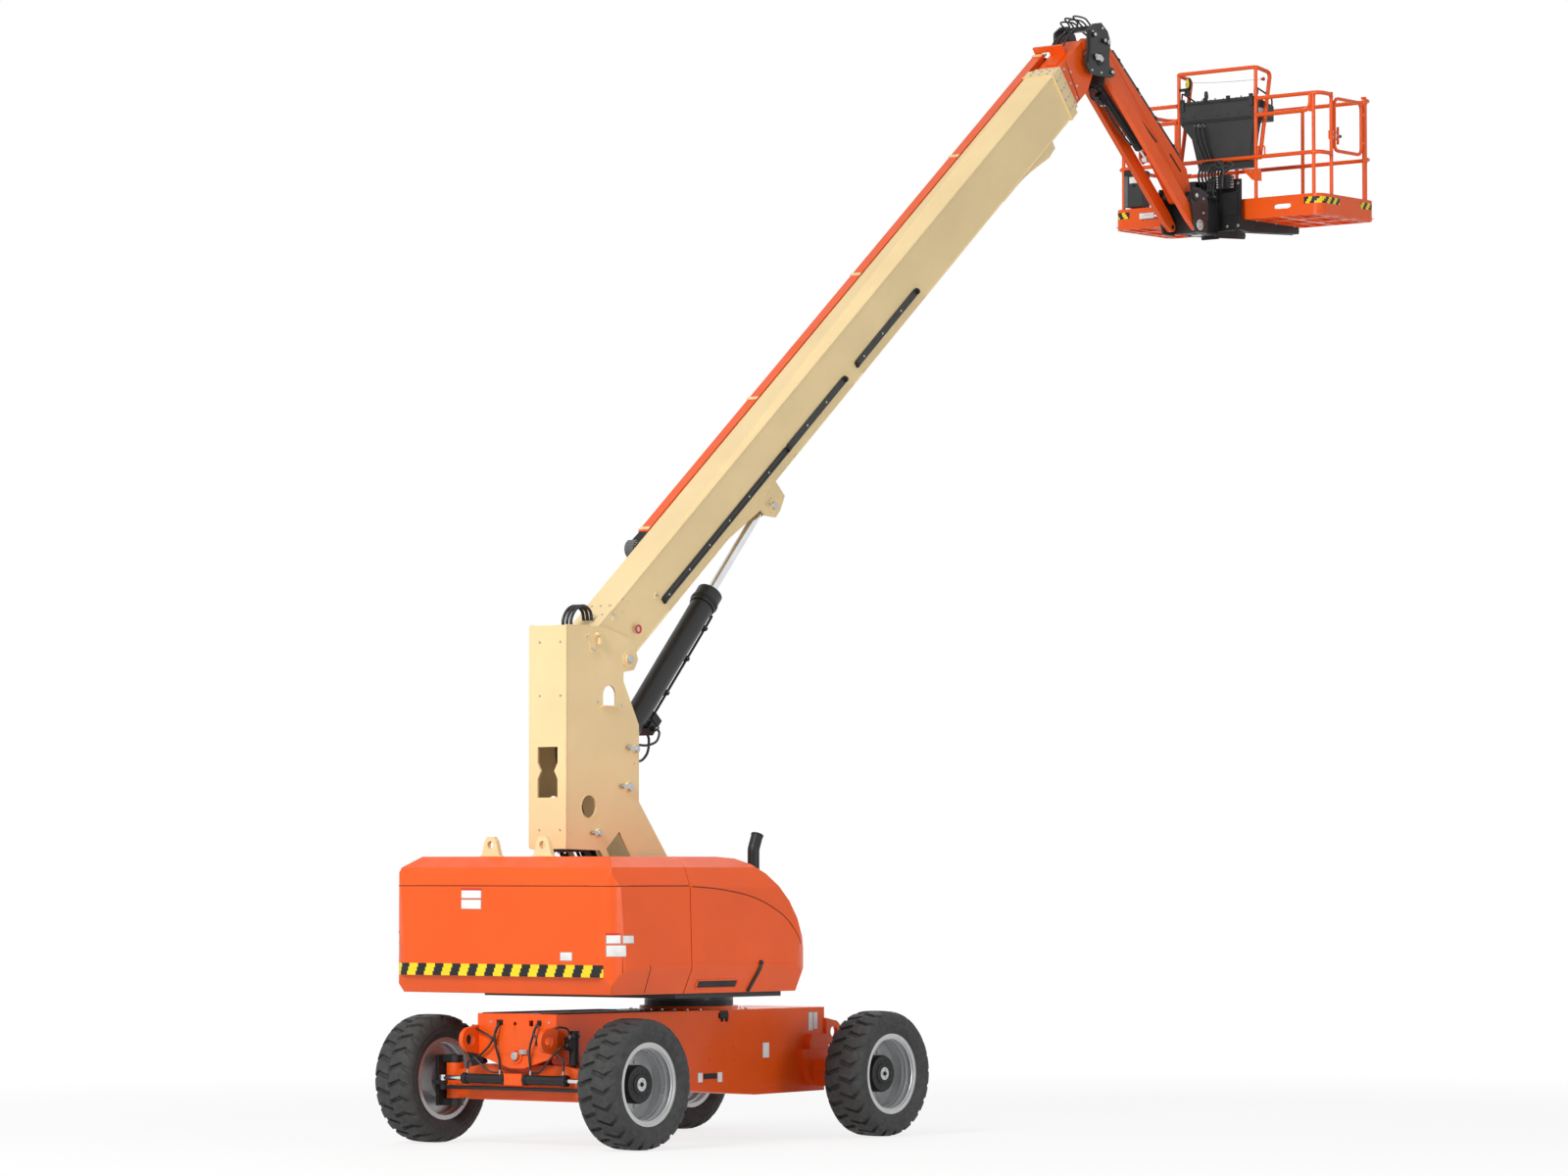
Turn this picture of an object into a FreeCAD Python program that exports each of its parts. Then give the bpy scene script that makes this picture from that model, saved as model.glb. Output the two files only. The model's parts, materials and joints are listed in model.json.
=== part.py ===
"""Telescopic boom lift: wheeled chassis, turntable, upright, three-section boom, jib and platform.

Built in the machine's own frame: +X is the way the boom points, +Y is left, +Z is up, floor at
z = 0 and the middle of the wheelbase at x = 0.  Everything is moved along X once, at the end, so
that the origin is the middle of the whole machine's footprint.  Sizes are in millimetres.
"""
import FreeCAD, Part
import math
import os

V = FreeCAD.Vector

# ---- driving sizes -------------------------------------------------------------------------
WHEELBASE = 3050.0
TRACK = 2116.0
TYRE_R = 510.0
TYRE_WIDTH = 380.0
RIM_FLANGE_R = 328.0
STEER_PIN_Y = 800.0
CHASSIS_TOP = 1040.0
CHASSIS_HALF = 410.0
CHASSIS_REAR_X = -1700.0
CHASSIS_FRONT_X = 1650.0
PLATE = 20.0
SWING_X = 400.0
DECK_Z = 1200.0
TAIL_X = -1920.0
TAIL_JOIN_X = -960.0
NOSE_X = 620.0
HOOD_HALF = 1170.0
HOOD_TOP = 2270.0
HOOD_WALL = 20.0
CHANNEL_HALF = 235.0
MAST_HALF = 190.0
MAST_REAR_X = -1340.0
BOOM_PIVOT = (-585.0, 3845.0)
BOOM_ANGLE = 39.6
BASE_LENGTH = 7940.0
BASE_HALF = 150.0
BASE_LOW = -45.0
BASE_HIGH = 400.0
BOOM_WALL = 8.0
BOOM_GAP = 6.0
LEVEL_ALONG = BASE_LENGTH + 555.0
LEVEL_ACROSS = 143.0
LIFT_BASE = (-500.0, 3130.0)
LIFT_EYE = (1333.0, 5169.0)
JIB_ANGLE = -42.37
JIB_LENGTH = 1850.0
KNUCKLE_HALF = 190.0
PLATFORM_DEPTH = 914.0
PLATFORM_LENGTH = 2300.0
TOE_HEIGHT = 190.0
RAIL_HEIGHT = 1110.0
RAIL_R = 19.0
PIN_PLAY = 0.3
SEAT = 0.3
MOVE_GAP = 5.0

# ---- places worked out from them -----------------------------------------------------------
AXLE_X = WHEELBASE / 2
TYRE_Y = TRACK / 2
BOOM_RAD = math.radians(BOOM_ANGLE)
JIB_RAD = math.radians(JIB_ANGLE)


def boom_point(along, across):
    """Machine X and Z of a point given along and across the boom from its pivot."""
    x = BOOM_PIVOT[0] + along * math.cos(BOOM_RAD) - across * math.sin(BOOM_RAD)
    z = BOOM_PIVOT[1] + along * math.sin(BOOM_RAD) + across * math.cos(BOOM_RAD)
    return (x, z)


LEVEL_PIN = boom_point(LEVEL_ALONG, LEVEL_ACROSS)
JIB_PIN = (LEVEL_PIN[0] + 115.0, LEVEL_PIN[1] + 165.0)
LINK_OFFSET = (60.0, -263.0)
JIB_RAM_BASE = (JIB_PIN[0] + 55.0, JIB_PIN[1] - 320.0)
JIB_RAM_ALONG = 1270.0
JIB_RAM_ACROSS = -120.0


def jib_point(along, across):
    """Machine X and Z of a point given along and across the jib from its upper pin."""
    x = JIB_PIN[0] + along * math.cos(JIB_RAD) - across * math.sin(JIB_RAD)
    z = JIB_PIN[1] + along * math.sin(JIB_RAD) + across * math.cos(JIB_RAD)
    return (x, z)


LINK_PIN = (JIB_PIN[0] + LINK_OFFSET[0], JIB_PIN[1] + LINK_OFFSET[1])
JIB_END = jib_point(JIB_LENGTH, 0.0)
LINK_END = (JIB_END[0] + LINK_OFFSET[0], JIB_END[1] + LINK_OFFSET[1])
JIB_RAM_EYE = jib_point(JIB_RAM_ALONG, JIB_RAM_ACROSS)
ROTATOR_X = JIB_END[0] + 289.0
PLATFORM_NEAR_X = ROTATOR_X + 303.0
PLATFORM_LOW = JIB_END[1] - 178.0
PLATFORM_FAR_X = PLATFORM_NEAR_X + PLATFORM_DEPTH
FLOOR_TOP = PLATFORM_LOW + 40.0
RAIL_TOP = PLATFORM_LOW + RAIL_HEIGHT
MIDDLE_X = (PLATFORM_FAR_X - AXLE_X - TYRE_R) / 2
MAST_TOP = BOOM_PIVOT[1] + 250.0
MAST_SHELF = HOOD_TOP + 60.0

NODES = {}
BEND_STEPS = 3
ROLL_STEPS = 8


# ---- small shape helpers -------------------------------------------------------------------
def box(x0, x1, y0, y1, z0, z1):
    return Part.makeBox(x1 - x0, y1 - y0, z1 - z0, V(x0, y0, z0))


def cylinder(start, axis, radius, length):
    return Part.makeCylinder(radius, length, V(*start), V(*axis))


def tube(start, axis, outer, inner, length):
    return cylinder(start, axis, outer, length).cut(cylinder(start, axis, inner, length))


def pin_y(place, radius, y0, y1):
    """A cylinder along Y at machine (x, z)."""
    return cylinder((place[0], y0, place[1]), (0, 1, 0), radius, y1 - y0)


def face_of(points):
    return Part.Face(Part.makePolygon(points + [points[0]]))


def plate_y(outline, y0, y1):
    """An XZ outline drawn out along Y."""
    return face_of([V(x, y0, z) for x, z in outline]).extrude(V(0, y1 - y0, 0))


def plate_x(outline, x0, x1):
    """A YZ outline drawn out along X."""
    return face_of([V(x0, y, z) for y, z in outline]).extrude(V(x1 - x0, 0, 0))


def plate_z(outline, z0, z1):
    """An XY outline drawn out along Z."""
    return face_of([V(x, y, z0) for x, y in outline]).extrude(V(0, 0, z1 - z0))


def fuse(shapes):
    joined = shapes[0].multiFuse(shapes[1:]) if len(shapes) > 1 else shapes[0]
    return joined.removeSplitter()


def cut(shape, tools):
    for tool in tools:
        shape = shape.cut(tool)
    return shape


def mirror_y(shape):
    return shape.mirror(V(0, 0, 0), V(0, 1, 0))


def both_sides(shape):
    return [shape, mirror_y(shape)]


def rounded(shape, radius, keep):
    """Fillet the edges of a shape whose middle passes the keep test."""
    edges = [e for e in shape.Edges if keep(e)]
    return shape.makeFillet(radius, edges)


def bend_points(corner, a, b, bend):
    """Points along the bend at one corner of a tube, from the leg towards a to the leg towards b."""
    half = a.getAngle(b) / 2
    start = corner + a * (bend / math.tan(half))
    centre = corner + (a + b).normalize() * (bend / math.sin(half))
    turn = FreeCAD.Rotation(a.cross(b), -math.degrees(math.pi - 2 * half) / BEND_STEPS)
    points = [start]
    for _ in range(BEND_STEPS):
        points.append(centre + turn.multVec(points[-1] - centre))
    return points


def tube_length(line, k, radius):
    """One straight length of a bent tube, mitred where it meets its neighbours."""
    way = (line[k + 1] - line[k]).normalize()
    first = k == 0
    last = k == len(line) - 2
    start = line[k] if first else line[k] - way * radius
    end = line[k + 1] if last else line[k + 1] + way * radius
    length = Part.makeCylinder(radius, (end - start).Length, start, way)
    if not first:
        back = (line[k - 1] - line[k]).normalize() - way
        length = length.cut(Part.makeCylinder(3 * radius, 3 * radius, line[k], back))
    if not last:
        onward = (line[k + 2] - line[k + 1]).normalize() + way
        length = length.cut(Part.makeCylinder(3 * radius, 3 * radius, line[k + 1], onward))
    return length


def bent_tube(points, radius, bend):
    """Round tube along a path, each corner bent at one radius in a few mitred steps."""
    path = [V(*p) for p in points]
    line = [path[0]]
    for before, corner, after in zip(path, path[1:], path[2:]):
        line += bend_points(corner, (before - corner).normalize(), (after - corner).normalize(), bend)
    line.append(path[-1])
    return fuse([tube_length(line, k, radius) for k in range(len(line) - 1)])


def in_boom_frame(shape):
    """Take a shape drawn along X and Z from the boom's pivot to its place on the machine."""
    placed = shape.copy()
    placed.rotate(V(0, 0, 0), V(0, 1, 0), -BOOM_ANGLE)
    placed.translate(V(BOOM_PIVOT[0], 0, BOOM_PIVOT[1]))
    return placed


def in_jib_frame(shape):
    """Take a shape drawn along X and Z from the jib's upper pin to its place on the machine."""
    placed = shape.copy()
    placed.rotate(V(0, 0, 0), V(0, 1, 0), -JIB_ANGLE)
    placed.translate(V(JIB_PIN[0], 0, JIB_PIN[1]))
    return placed


def along_pins(shape, base, eye):
    """Take a shape drawn along X from a pin to lie from base towards eye, both machine (x, z)."""
    angle = math.degrees(math.atan2(eye[1] - base[1], eye[0] - base[0]))
    placed = shape.copy()
    placed.rotate(V(0, 0, 0), V(0, 1, 0), -angle)
    placed.translate(V(base[0], 0, base[1]))
    return placed


def pin_distance(base, eye):
    return math.hypot(eye[0] - base[0], eye[1] - base[1])


# ---- wheels --------------------------------------------------------------------------------
LUG_COUNT = 15
LUG_HEIGHT = 32.0
TREAD_R = TYRE_R - LUG_HEIGHT
BEAD_R = 304.0
BEAD_HALF = 140.0


def tyre_segment(half_turn):
    """One straight piece of the carcass at the top of the tyre, mitred at both ends."""
    half = TYRE_WIDTH / 2
    side = [
        (TREAD_R, half - 60), (TREAD_R - 60, half), (RIM_FLANGE_R + 34, half - 14),
        (RIM_FLANGE_R + 4, BEAD_HALF), (BEAD_R - 15, BEAD_HALF),
    ]
    profile = side + [(r, -y) for r, y in reversed(side)]
    reach = TYRE_R * math.tan(half_turn)
    bar = face_of([V(-reach, y, r) for r, y in profile]).extrude(V(2 * reach, 0, 0))
    return bar.common(plate_y([(0, 0), (-reach, TYRE_R), (reach, TYRE_R)], -TYRE_WIDTH, TYRE_WIDTH))


def tyre_lug():
    """One slanted bar of the left row, at the top of the tyre."""
    half = TYRE_WIDTH / 2
    outline = [(-50, half - 20), (50, half - 20), (14, half - 182), (-66, half - 182)]
    return plate_z(outline, TREAD_R - 34, TYRE_R - 2.5)


def tyre():
    """The whole tyre, its left side towards +Y: one flat piece of carcass to each pair of bars."""
    turn = 360.0 / LUG_COUNT
    pieces = []
    for k in range(LUG_COUNT):
        segment = tyre_segment(math.radians(turn / 2))
        left = tyre_lug()
        right = left.copy()
        right.rotate(V(0, 0, 0), V(0, 0, 1), 180)
        for shape, angle in ((segment, k * turn), (left, k * turn), (right, (k + 0.5) * turn)):
            shape.rotate(V(0, 0, 0), V(0, 1, 0), angle)
            pieces.append(shape)
    seat = cylinder((0, -TYRE_WIDTH, 0), (0, 1, 0), BEAD_R, 2 * TYRE_WIDTH)
    return fuse(pieces).cut(seat)


HUB_R = 145.0
HUB_INNER_Y = -128.0
HUB_FACE_Y = 62.0
DISC_Y = -58.0
RIM_WALL = 13.0
FLANGE_WIDTH = 9.0


def rim():
    """Deep-dish rim and drive hub about the Y axis, dished towards +Y, middle at the origin."""
    inner = BEAD_R - RIM_WALL
    lip = BEAD_HALF + SEAT
    edge = lip + FLANGE_WIDTH
    profile = [
        (0, HUB_INNER_Y), (HUB_R, HUB_INNER_Y), (HUB_R, DISC_Y), (inner, DISC_Y), (inner, -edge),
        (RIM_FLANGE_R, -edge), (RIM_FLANGE_R, -lip), (BEAD_R - SEAT, -lip), (BEAD_R - SEAT, lip),
        (RIM_FLANGE_R, lip), (RIM_FLANGE_R, edge), (inner, edge), (inner, DISC_Y + 14),
        (HUB_R - 22, DISC_Y + 14), (HUB_R - 22, HUB_FACE_Y), (52, HUB_FACE_Y), (52, HUB_FACE_Y + 18),
        (0, HUB_FACE_Y + 18),
    ]
    return face_of([V(r, y, 0) for r, y in profile]).revolve(V(0, 0, 0), V(0, 1, 0), 360)


def wheels():
    one_tyre = tyre()
    one_rim = rim()
    for end, x in (("steer", -AXLE_X), ("drive", AXLE_X)):
        for side, y in (("left", TYRE_Y), ("right", -TYRE_Y)):
            for part, shape in (("tyre", one_tyre), ("rim", one_rim)):
                copy = shape.copy()
                if side == "right":
                    copy.rotate(V(0, 0, 0), V(0, 0, 1), 180)
                copy.translate(V(x, y, TYRE_R))
                NODES[part + "_" + end + "_" + side] = copy


# ---- chassis and axles ---------------------------------------------------------------------
POCKET_FRONT_X = -1330.0
POCKET_Z = 700.0
PIVOT_Z = 712.0
BEAM_LOW = 360.0
BEAM_HIGH = 640.0
STEER_RAM_OFFSET = 190.0
STEER_ROD_R = 20.0
STEER_RAM_Z = 527.6
TIE_ROD_Z = 455.0
EYE_HALF = 22.0
ARM_LOW = TIE_ROD_Z + EYE_HALF + SEAT
RING_R = 360.0
RING_LOW = 1070.0
RING_SPLIT = 1114.0


def chassis_outline(inset):
    return [
        (POCKET_FRONT_X + inset, POCKET_Z + inset), (POCKET_FRONT_X + 160 + inset, 440 + inset),
        (-100, 400 + inset), (750, 345 + inset), (CHASSIS_FRONT_X - inset, 356 + inset),
        (CHASSIS_FRONT_X - inset, CHASSIS_TOP - inset), (POCKET_FRONT_X + inset, CHASSIS_TOP - inset),
    ]


def tie_down(x_root, way):
    """One D-shaped lashing ear beyond an end of the chassis, on the left."""
    reach = 105 * way
    middle_z = 835.0
    inner = CHASSIS_HALF - 20
    outer = CHASSIS_HALF + 20
    body = box(min(x_root, x_root + reach), max(x_root, x_root + reach), inner, outer,
               middle_z - 115, middle_z + 115)
    end = cylinder((x_root + reach, inner, middle_z), (0, 1, 0), 95, outer - inner)
    foot = plate_y([(x_root, middle_z - 115), (x_root, middle_z + 115), (x_root + reach, middle_z + 95),
                    (x_root + reach, middle_z - 95)], inner, outer)
    hole = cylinder((x_root + reach, inner - 5, middle_z), (0, 1, 0), 46, outer - inner + 10)
    return fuse([body.common(foot), end]).cut(hole)


def chassis_frame():
    half = CHASSIS_HALF
    main = plate_y(chassis_outline(0), -half, half)
    hollow = plate_y(chassis_outline(PLATE), -half + PLATE, half - PLATE)
    main = main.cut(hollow)
    top = box(CHASSIS_REAR_X, POCKET_FRONT_X, -half, half, CHASSIS_TOP - PLATE, CHASSIS_TOP)
    side = box(CHASSIS_REAR_X, POCKET_FRONT_X, half - PLATE, half, POCKET_Z, CHASSIS_TOP)
    end_outline = [(-half, CHASSIS_TOP), (-half, POCKET_Z + 10), (-70, 612), (70, 612),
                   (half, POCKET_Z + 10), (half, CHASSIS_TOP)]
    end = plate_x(end_outline, CHASSIS_REAR_X, CHASSIS_REAR_X + PLATE)
    end = end.cut(cylinder((CHASSIS_REAR_X - 5, 0, PIVOT_Z), (1, 0, 0), 35 + PIN_PLAY, 40))
    for y in (-150, 190):
        end = end.cut(box(CHASSIS_REAR_X - 5, CHASSIS_REAR_X + 30, y - 22, y + 22, 945, 990))
    end = end.cut(cylinder((CHASSIS_REAR_X - 5, 20, 962), (1, 0, 0), 16, 40))
    ring_seat = cylinder((SWING_X, 0, CHASSIS_TOP), (0, 0, 1), 400, RING_LOW - CHASSIS_TOP)
    ears = both_sides(tie_down(CHASSIS_REAR_X, -1)) + both_sides(tie_down(CHASSIS_FRONT_X, 1))
    window = box(284, 413, -half - 5, -half + 30, 971, CHASSIS_TOP - PLATE - 5)
    drum = fuse([main, top, side, mirror_y(side), end, ring_seat] + ears)
    drum = cut(drum, [window, mirror_y(window)])
    well = cylinder((SWING_X, 0, CHASSIS_TOP - PLATE - 5), (0, 0, 1), 255, 80)
    return drum.cut(well)


def slew_ring():
    return tube((SWING_X, 0, RING_LOW), (0, 0, 1), RING_R, 262, RING_SPLIT - RING_LOW)


def drive_axle():
    """Fixed axle: one box stub each side with a flange and spindle for the wheel drive."""
    half = 110.0
    stub = box(AXLE_X - half, AXLE_X + half, CHASSIS_HALF, 862, 400, 620)
    flange = cylinder((AXLE_X, 862, TYRE_R), (0, 1, 0), 130, 26)
    spindle = cylinder((AXLE_X, 888, TYRE_R), (0, 1, 0), 78, TYRE_Y + HUB_INNER_Y - 888 - PIN_PLAY)
    bracket = plate_y([(AXLE_X - 260, 700), (AXLE_X - 110, 400), (AXLE_X + 110, 400),
                       (AXLE_X + 110, 700)], CHASSIS_HALF, CHASSIS_HALF + 70)
    return Part.makeCompound(both_sides(fuse([stub, flange, spindle, bracket])))


def steer_axle():
    """Oscillating beam with its pivot upstand, pin, ram bracket and king-pin bosses."""
    x = -AXLE_X
    beam_outline = [(-720, BEAM_LOW + 40), (-560, BEAM_LOW), (560, BEAM_LOW), (720, BEAM_LOW + 40),
                    (720, BEAM_HIGH - 60), (420, BEAM_HIGH), (-420, BEAM_HIGH), (-720, BEAM_HIGH - 60)]
    beam = plate_x(beam_outline, x - 90, x + 90)
    upstand = plate_x([(-150, BEAM_HIGH), (150, BEAM_HIGH), (70, PIVOT_Z + 60), (-70, PIVOT_Z + 60)],
                      x - 90, x + 90)
    pin = cylinder((CHASSIS_REAR_X - 22, 0, PIVOT_Z), (1, 0, 0), 35,
                   POCKET_FRONT_X - CHASSIS_REAR_X + 20)
    boss = cylinder((x, STEER_PIN_Y, BEAM_LOW), (0, 0, 1), 72, BEAM_HIGH - BEAM_LOW)
    neck = box(x - 60, x + 60, 700, STEER_PIN_Y, BEAM_LOW + 60, BEAM_HIGH - 80)
    bore = cylinder((x, STEER_PIN_Y, BEAM_LOW - 5), (0, 0, 1), 35 + PIN_PLAY, BEAM_HIGH - BEAM_LOW + 10)
    ends = []
    for piece in (boss, neck):
        ends += both_sides(piece)
    bracket = box(x - STEER_RAM_OFFSET - 30, x - 90, -95, 95, STEER_RAM_Z - 45, STEER_RAM_Z + 45)
    whole = fuse([beam, upstand, pin, bracket] + ends)
    return cut(whole, both_sides(bore))


def axle_cylinders():
    """Both steer ram barrels on the beam and the two lockout rams at the chassis sides."""
    x = -AXLE_X - STEER_RAM_OFFSET
    barrel = tube((x, 95, STEER_RAM_Z), (0, 1, 0), 38, STEER_ROD_R + PIN_PLAY, 445)
    lug = box(x + 20, x + 100, 380, 440, STEER_RAM_Z - 25, STEER_RAM_Z + 25)
    lug = lug.cut(cylinder((x, 370, STEER_RAM_Z), (0, 1, 0), 37, 80))
    ram = fuse([barrel, lug])
    lockout = cylinder((-AXLE_X - 40, CHASSIS_HALF + 70, BEAM_HIGH + 5), (0, 0, 1), 38, 250)
    rod = cylinder((-AXLE_X - 40, CHASSIS_HALF + 70, BEAM_HIGH - 40), (0, 0, 1), 20, 60)
    seat = box(-AXLE_X - 75, -AXLE_X - 5, CHASSIS_HALF, CHASSIS_HALF + 50, 760, 860)
    keeper = fuse([lockout, rod, seat])
    beam_space = plate_x([(400, BEAM_LOW), (720, BEAM_LOW), (720, BEAM_HIGH - 60), (420, BEAM_HIGH)],
                         -AXLE_X - 90, -AXLE_X + 90)
    keeper = keeper.cut(beam_space)
    return Part.makeCompound(both_sides(ram) + both_sides(keeper))


def steer_knuckle():
    """Left yoke about its king pin with the spindle and the steering arm."""
    x = -AXLE_X
    y = STEER_PIN_Y
    back = box(x - 110, x + 110, y + 80, y + 112, 300, 702)
    arms = []
    for z0 in (BEAM_LOW - 55 - MOVE_GAP, BEAM_HIGH + MOVE_GAP):
        arm = fuse([box(x - 62, x + 62, y, y + 90, z0, z0 + 55), cylinder((x, y, z0), (0, 0, 1), 62, 55)])
        arms.append(arm)
    low_pin = cylinder((x, y, BEAM_LOW - 10), (0, 0, 1), 35, 80)
    high_pin = cylinder((x, y, BEAM_HIGH - 70), (0, 0, 1), 35, 80)
    spindle_end = TYRE_Y + HUB_INNER_Y - PIN_PLAY
    spindle = cylinder((x, y + 112, TYRE_R), (0, 1, 0), 78, spindle_end - y - 112)
    arm_outline = [(x - 110, y + 112), (x - 110, y + 70), (x - 165, y - 65), (x - 215, y - 65),
                   (x - 215, y - 10), (x - 150, y + 112)]
    steering_arm = plate_z(arm_outline, ARM_LOW, ARM_LOW + 28)
    return fuse([back, low_pin, high_pin, spindle, steering_arm] + arms)


def tie_rod():
    x = -AXLE_X - STEER_RAM_OFFSET
    y = STEER_PIN_Y - 40
    bar = cylinder((x, -y, TIE_ROD_Z), (0, 1, 0), 15, 2 * y)
    ends = []
    for side in (-1, 1):
        ends.append(cylinder((x, side * y, TIE_ROD_Z - EYE_HALF), (0, 0, 1), 26, 2 * EYE_HALF))
    return fuse([bar] + ends)


def steer_rods():
    """Both ram rods; they move across together."""
    x = -AXLE_X - STEER_RAM_OFFSET
    y = STEER_PIN_Y - 40
    rod = cylinder((x, 260, STEER_RAM_Z), (0, 1, 0), STEER_ROD_R, y - 260)
    eye = cylinder((x, y, STEER_RAM_Z - EYE_HALF), (0, 0, 1), 28, 2 * EYE_HALF)
    return Part.makeCompound(both_sides(fuse([rod, eye])))


def undercarriage():
    NODES["chassis_frame"] = chassis_frame()
    NODES["slew_ring"] = slew_ring()
    NODES["drive_axle"] = drive_axle()
    NODES["steer_axle"] = steer_axle()
    NODES["axle_cylinders"] = axle_cylinders()
    left = steer_knuckle()
    NODES["steer_knuckle_left"] = left
    NODES["steer_knuckle_right"] = mirror_y(left)
    NODES["tie_rod"] = tie_rod()
    NODES["steer_rods"] = steer_rods()


# ---- turntable -----------------------------------------------------------------------------
CORNER_REACH = 1183.0
CORNER_ANGLE = 51.0
HINGE_Y = CHANNEL_HALF - 18.0
HINGE_Z = HOOD_TOP - 12.0
HINGE_PIN_R = 7.0
HINGE_X = (-840.0, -515.0)


def cover_side(inset):
    """Cross section of the covers from the machine's middle to its left side."""
    half = HOOD_HALF - inset
    return [
        (0, DECK_Z - inset), (half - 90, DECK_Z - inset), (half, DECK_Z + 200),
        (half - 18, 2030), (half - 75, HOOD_TOP - 85 - inset / 2), (half - 190, HOOD_TOP - inset),
        (0, HOOD_TOP - inset),
    ]


def rolled_profile(middle_x, middle_z, front, inset):
    """Side view of a hood: bevelled foot, upright front and a quarter ellipse to the roof."""
    front = front - inset
    top = HOOD_TOP - inset
    low = DECK_Z - 1 - inset
    points = [(TAIL_JOIN_X - 200, top), (TAIL_JOIN_X - 200, low), (front - 70, low), (front, DECK_Z + 200)]
    for k in range(ROLL_STEPS + 1):
        a = math.pi / 2 * k / ROLL_STEPS
        x = middle_x + (front - middle_x) * math.cos(a)
        points.append((x, middle_z + (top - middle_z) * math.sin(a)))
    return points


def nose_plan(inset):
    """Plan of the hood, left half, with its rounded front corner."""
    front = NOSE_X - inset
    half = HOOD_HALF - inset
    corner = 300.0 - inset
    points = [V(TAIL_JOIN_X - 200, 0, 0), V(front, 0, 0), V(front, half - corner, 0)]
    turn = corner * math.sqrt(0.5)
    middle = V(front - corner + turn, half - corner + turn, 0)
    last = V(front - corner, half, 0)
    edges = [Part.makeLine(points[0], points[1]), Part.makeLine(points[1], points[2]),
             Part.Arc(points[2], middle, last).toShape(),
             Part.makeLine(last, V(TAIL_JOIN_X - 200, half, 0)),
             Part.makeLine(V(TAIL_JOIN_X - 200, half, 0), points[0])]
    return Part.Face(Part.Wire(edges))


def hood_form(inset):
    """Left hood as a solid between the tail joint and the nose, shrunk by the inset."""
    across = plate_x(cover_side(inset), TAIL_JOIN_X - 100, NOSE_X + 50)
    side = plate_y(rolled_profile(-440.0, DECK_Z + 360, NOSE_X, inset), 0, HOOD_HALF + 50)
    corner = plate_y(rolled_profile(500.0, DECK_Z + 275, CORNER_REACH, inset), -HOOD_HALF, 3 * HOOD_HALF)
    corner.rotate(V(0, 0, 0), V(0, 0, 1), CORNER_ANGLE)
    plan = nose_plan(inset)
    plan.translate(V(0, 0, DECK_Z - 100))
    plan = plan.extrude(V(0, 0, HOOD_TOP - DECK_Z + 200))
    return across.common(side).common(plan).common(corner)


def hood():
    """Left hood: an open shell, cut back at the channel for the boom, with two hinge sleeves."""
    shell = hood_form(0).cut(hood_form(HOOD_WALL))
    keep = box(TAIL_JOIN_X + 6, NOSE_X + 60, CHANNEL_HALF, HOOD_HALF + 60, DECK_Z, HOOD_TOP + 10)
    pieces = [shell.common(keep)]
    for x in HINGE_X:
        sleeve = cylinder((x, HINGE_Y, HINGE_Z), (1, 0, 0), HINGE_PIN_R + 6, 70)
        leaf = box(x, x + 70, HINGE_Y, CHANNEL_HALF + 30, HINGE_Z - 6, HINGE_Z + 6)
        bore = cylinder((x - 5, HINGE_Y, HINGE_Z), (1, 0, 0), HINGE_PIN_R + PIN_PLAY, 80)
        pieces.append(fuse([sleeve, leaf]).cut(bore))
    return fuse(pieces)


def tail_form():
    """Counterweight: cover section both sides, bevelled foot and rounded rear corners."""
    left = cover_side(0)
    right = [(-y, z) for y, z in reversed(left) if y > 0]
    across = plate_x(left + right, TAIL_X - 10, TAIL_JOIN_X)
    side_outline = [(TAIL_JOIN_X, DECK_Z), (TAIL_X + 90, DECK_Z), (TAIL_X, DECK_Z + 200),
                    (TAIL_X + 18, 2030), (TAIL_X + 75, HOOD_TOP - 85), (TAIL_X + 190, HOOD_TOP),
                    (TAIL_JOIN_X, HOOD_TOP)]
    side = plate_y(side_outline, -HOOD_HALF - 10, HOOD_HALF + 10)
    plan = box(TAIL_X, TAIL_JOIN_X, -HOOD_HALF, HOOD_HALF, DECK_Z, HOOD_TOP)
    plan = rounded(plan, 210, lambda e: abs(e.CenterOfMass.x - TAIL_X) < 1
                   and abs(abs(e.CenterOfMass.y) - HOOD_HALF) < 1)
    return across.common(side).common(plan)


LIFTING_EYE_R = 32.0
LIFTING_EYE_RISE = 90.0


def lifting_lugs():
    """Two eyes standing on the tail."""
    base = HOOD_TOP
    outline = [(-95, base), (95, base), (60, base + 120), (35, base + 155), (-35, base + 155),
               (-60, base + 120)]
    lug = plate_x(outline, TAIL_X + 210, TAIL_X + 250)
    lug = lug.cut(cylinder((TAIL_X + 200, 0, base + LIFTING_EYE_RISE), (1, 0, 0), LIFTING_EYE_R, 60))
    pair = []
    for y in (-272, 272):
        copy = lug.copy()
        copy.translate(V(0, y, 0))
        pair.append(copy)
    return Part.makeCompound(pair)


def turntable_base():
    """Deck plate, tail bulkhead, upper ring and the spigot that turns in the slew ring."""
    deck_outline = [(TAIL_JOIN_X, -1000), (350, -1000), (540, -800), (540, 800), (350, 1000),
                    (TAIL_JOIN_X, 1000)]
    deck = plate_z(deck_outline, DECK_Z - 40, DECK_Z)
    bulkhead = box(TAIL_JOIN_X, TAIL_JOIN_X + 25, -700, 700, DECK_Z, 2190)
    upper_ring = cylinder((SWING_X, 0, RING_SPLIT + SEAT), (0, 0, 1), RING_R,
                          DECK_Z - 40 - RING_SPLIT - SEAT)
    spigot = cylinder((SWING_X, 0, RING_LOW - 20), (0, 0, 1), 245, 80)
    return fuse([deck, bulkhead, upper_ring, spigot])


def engine():
    return box(-800, 150, -960, -420, DECK_Z, 1900)


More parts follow.
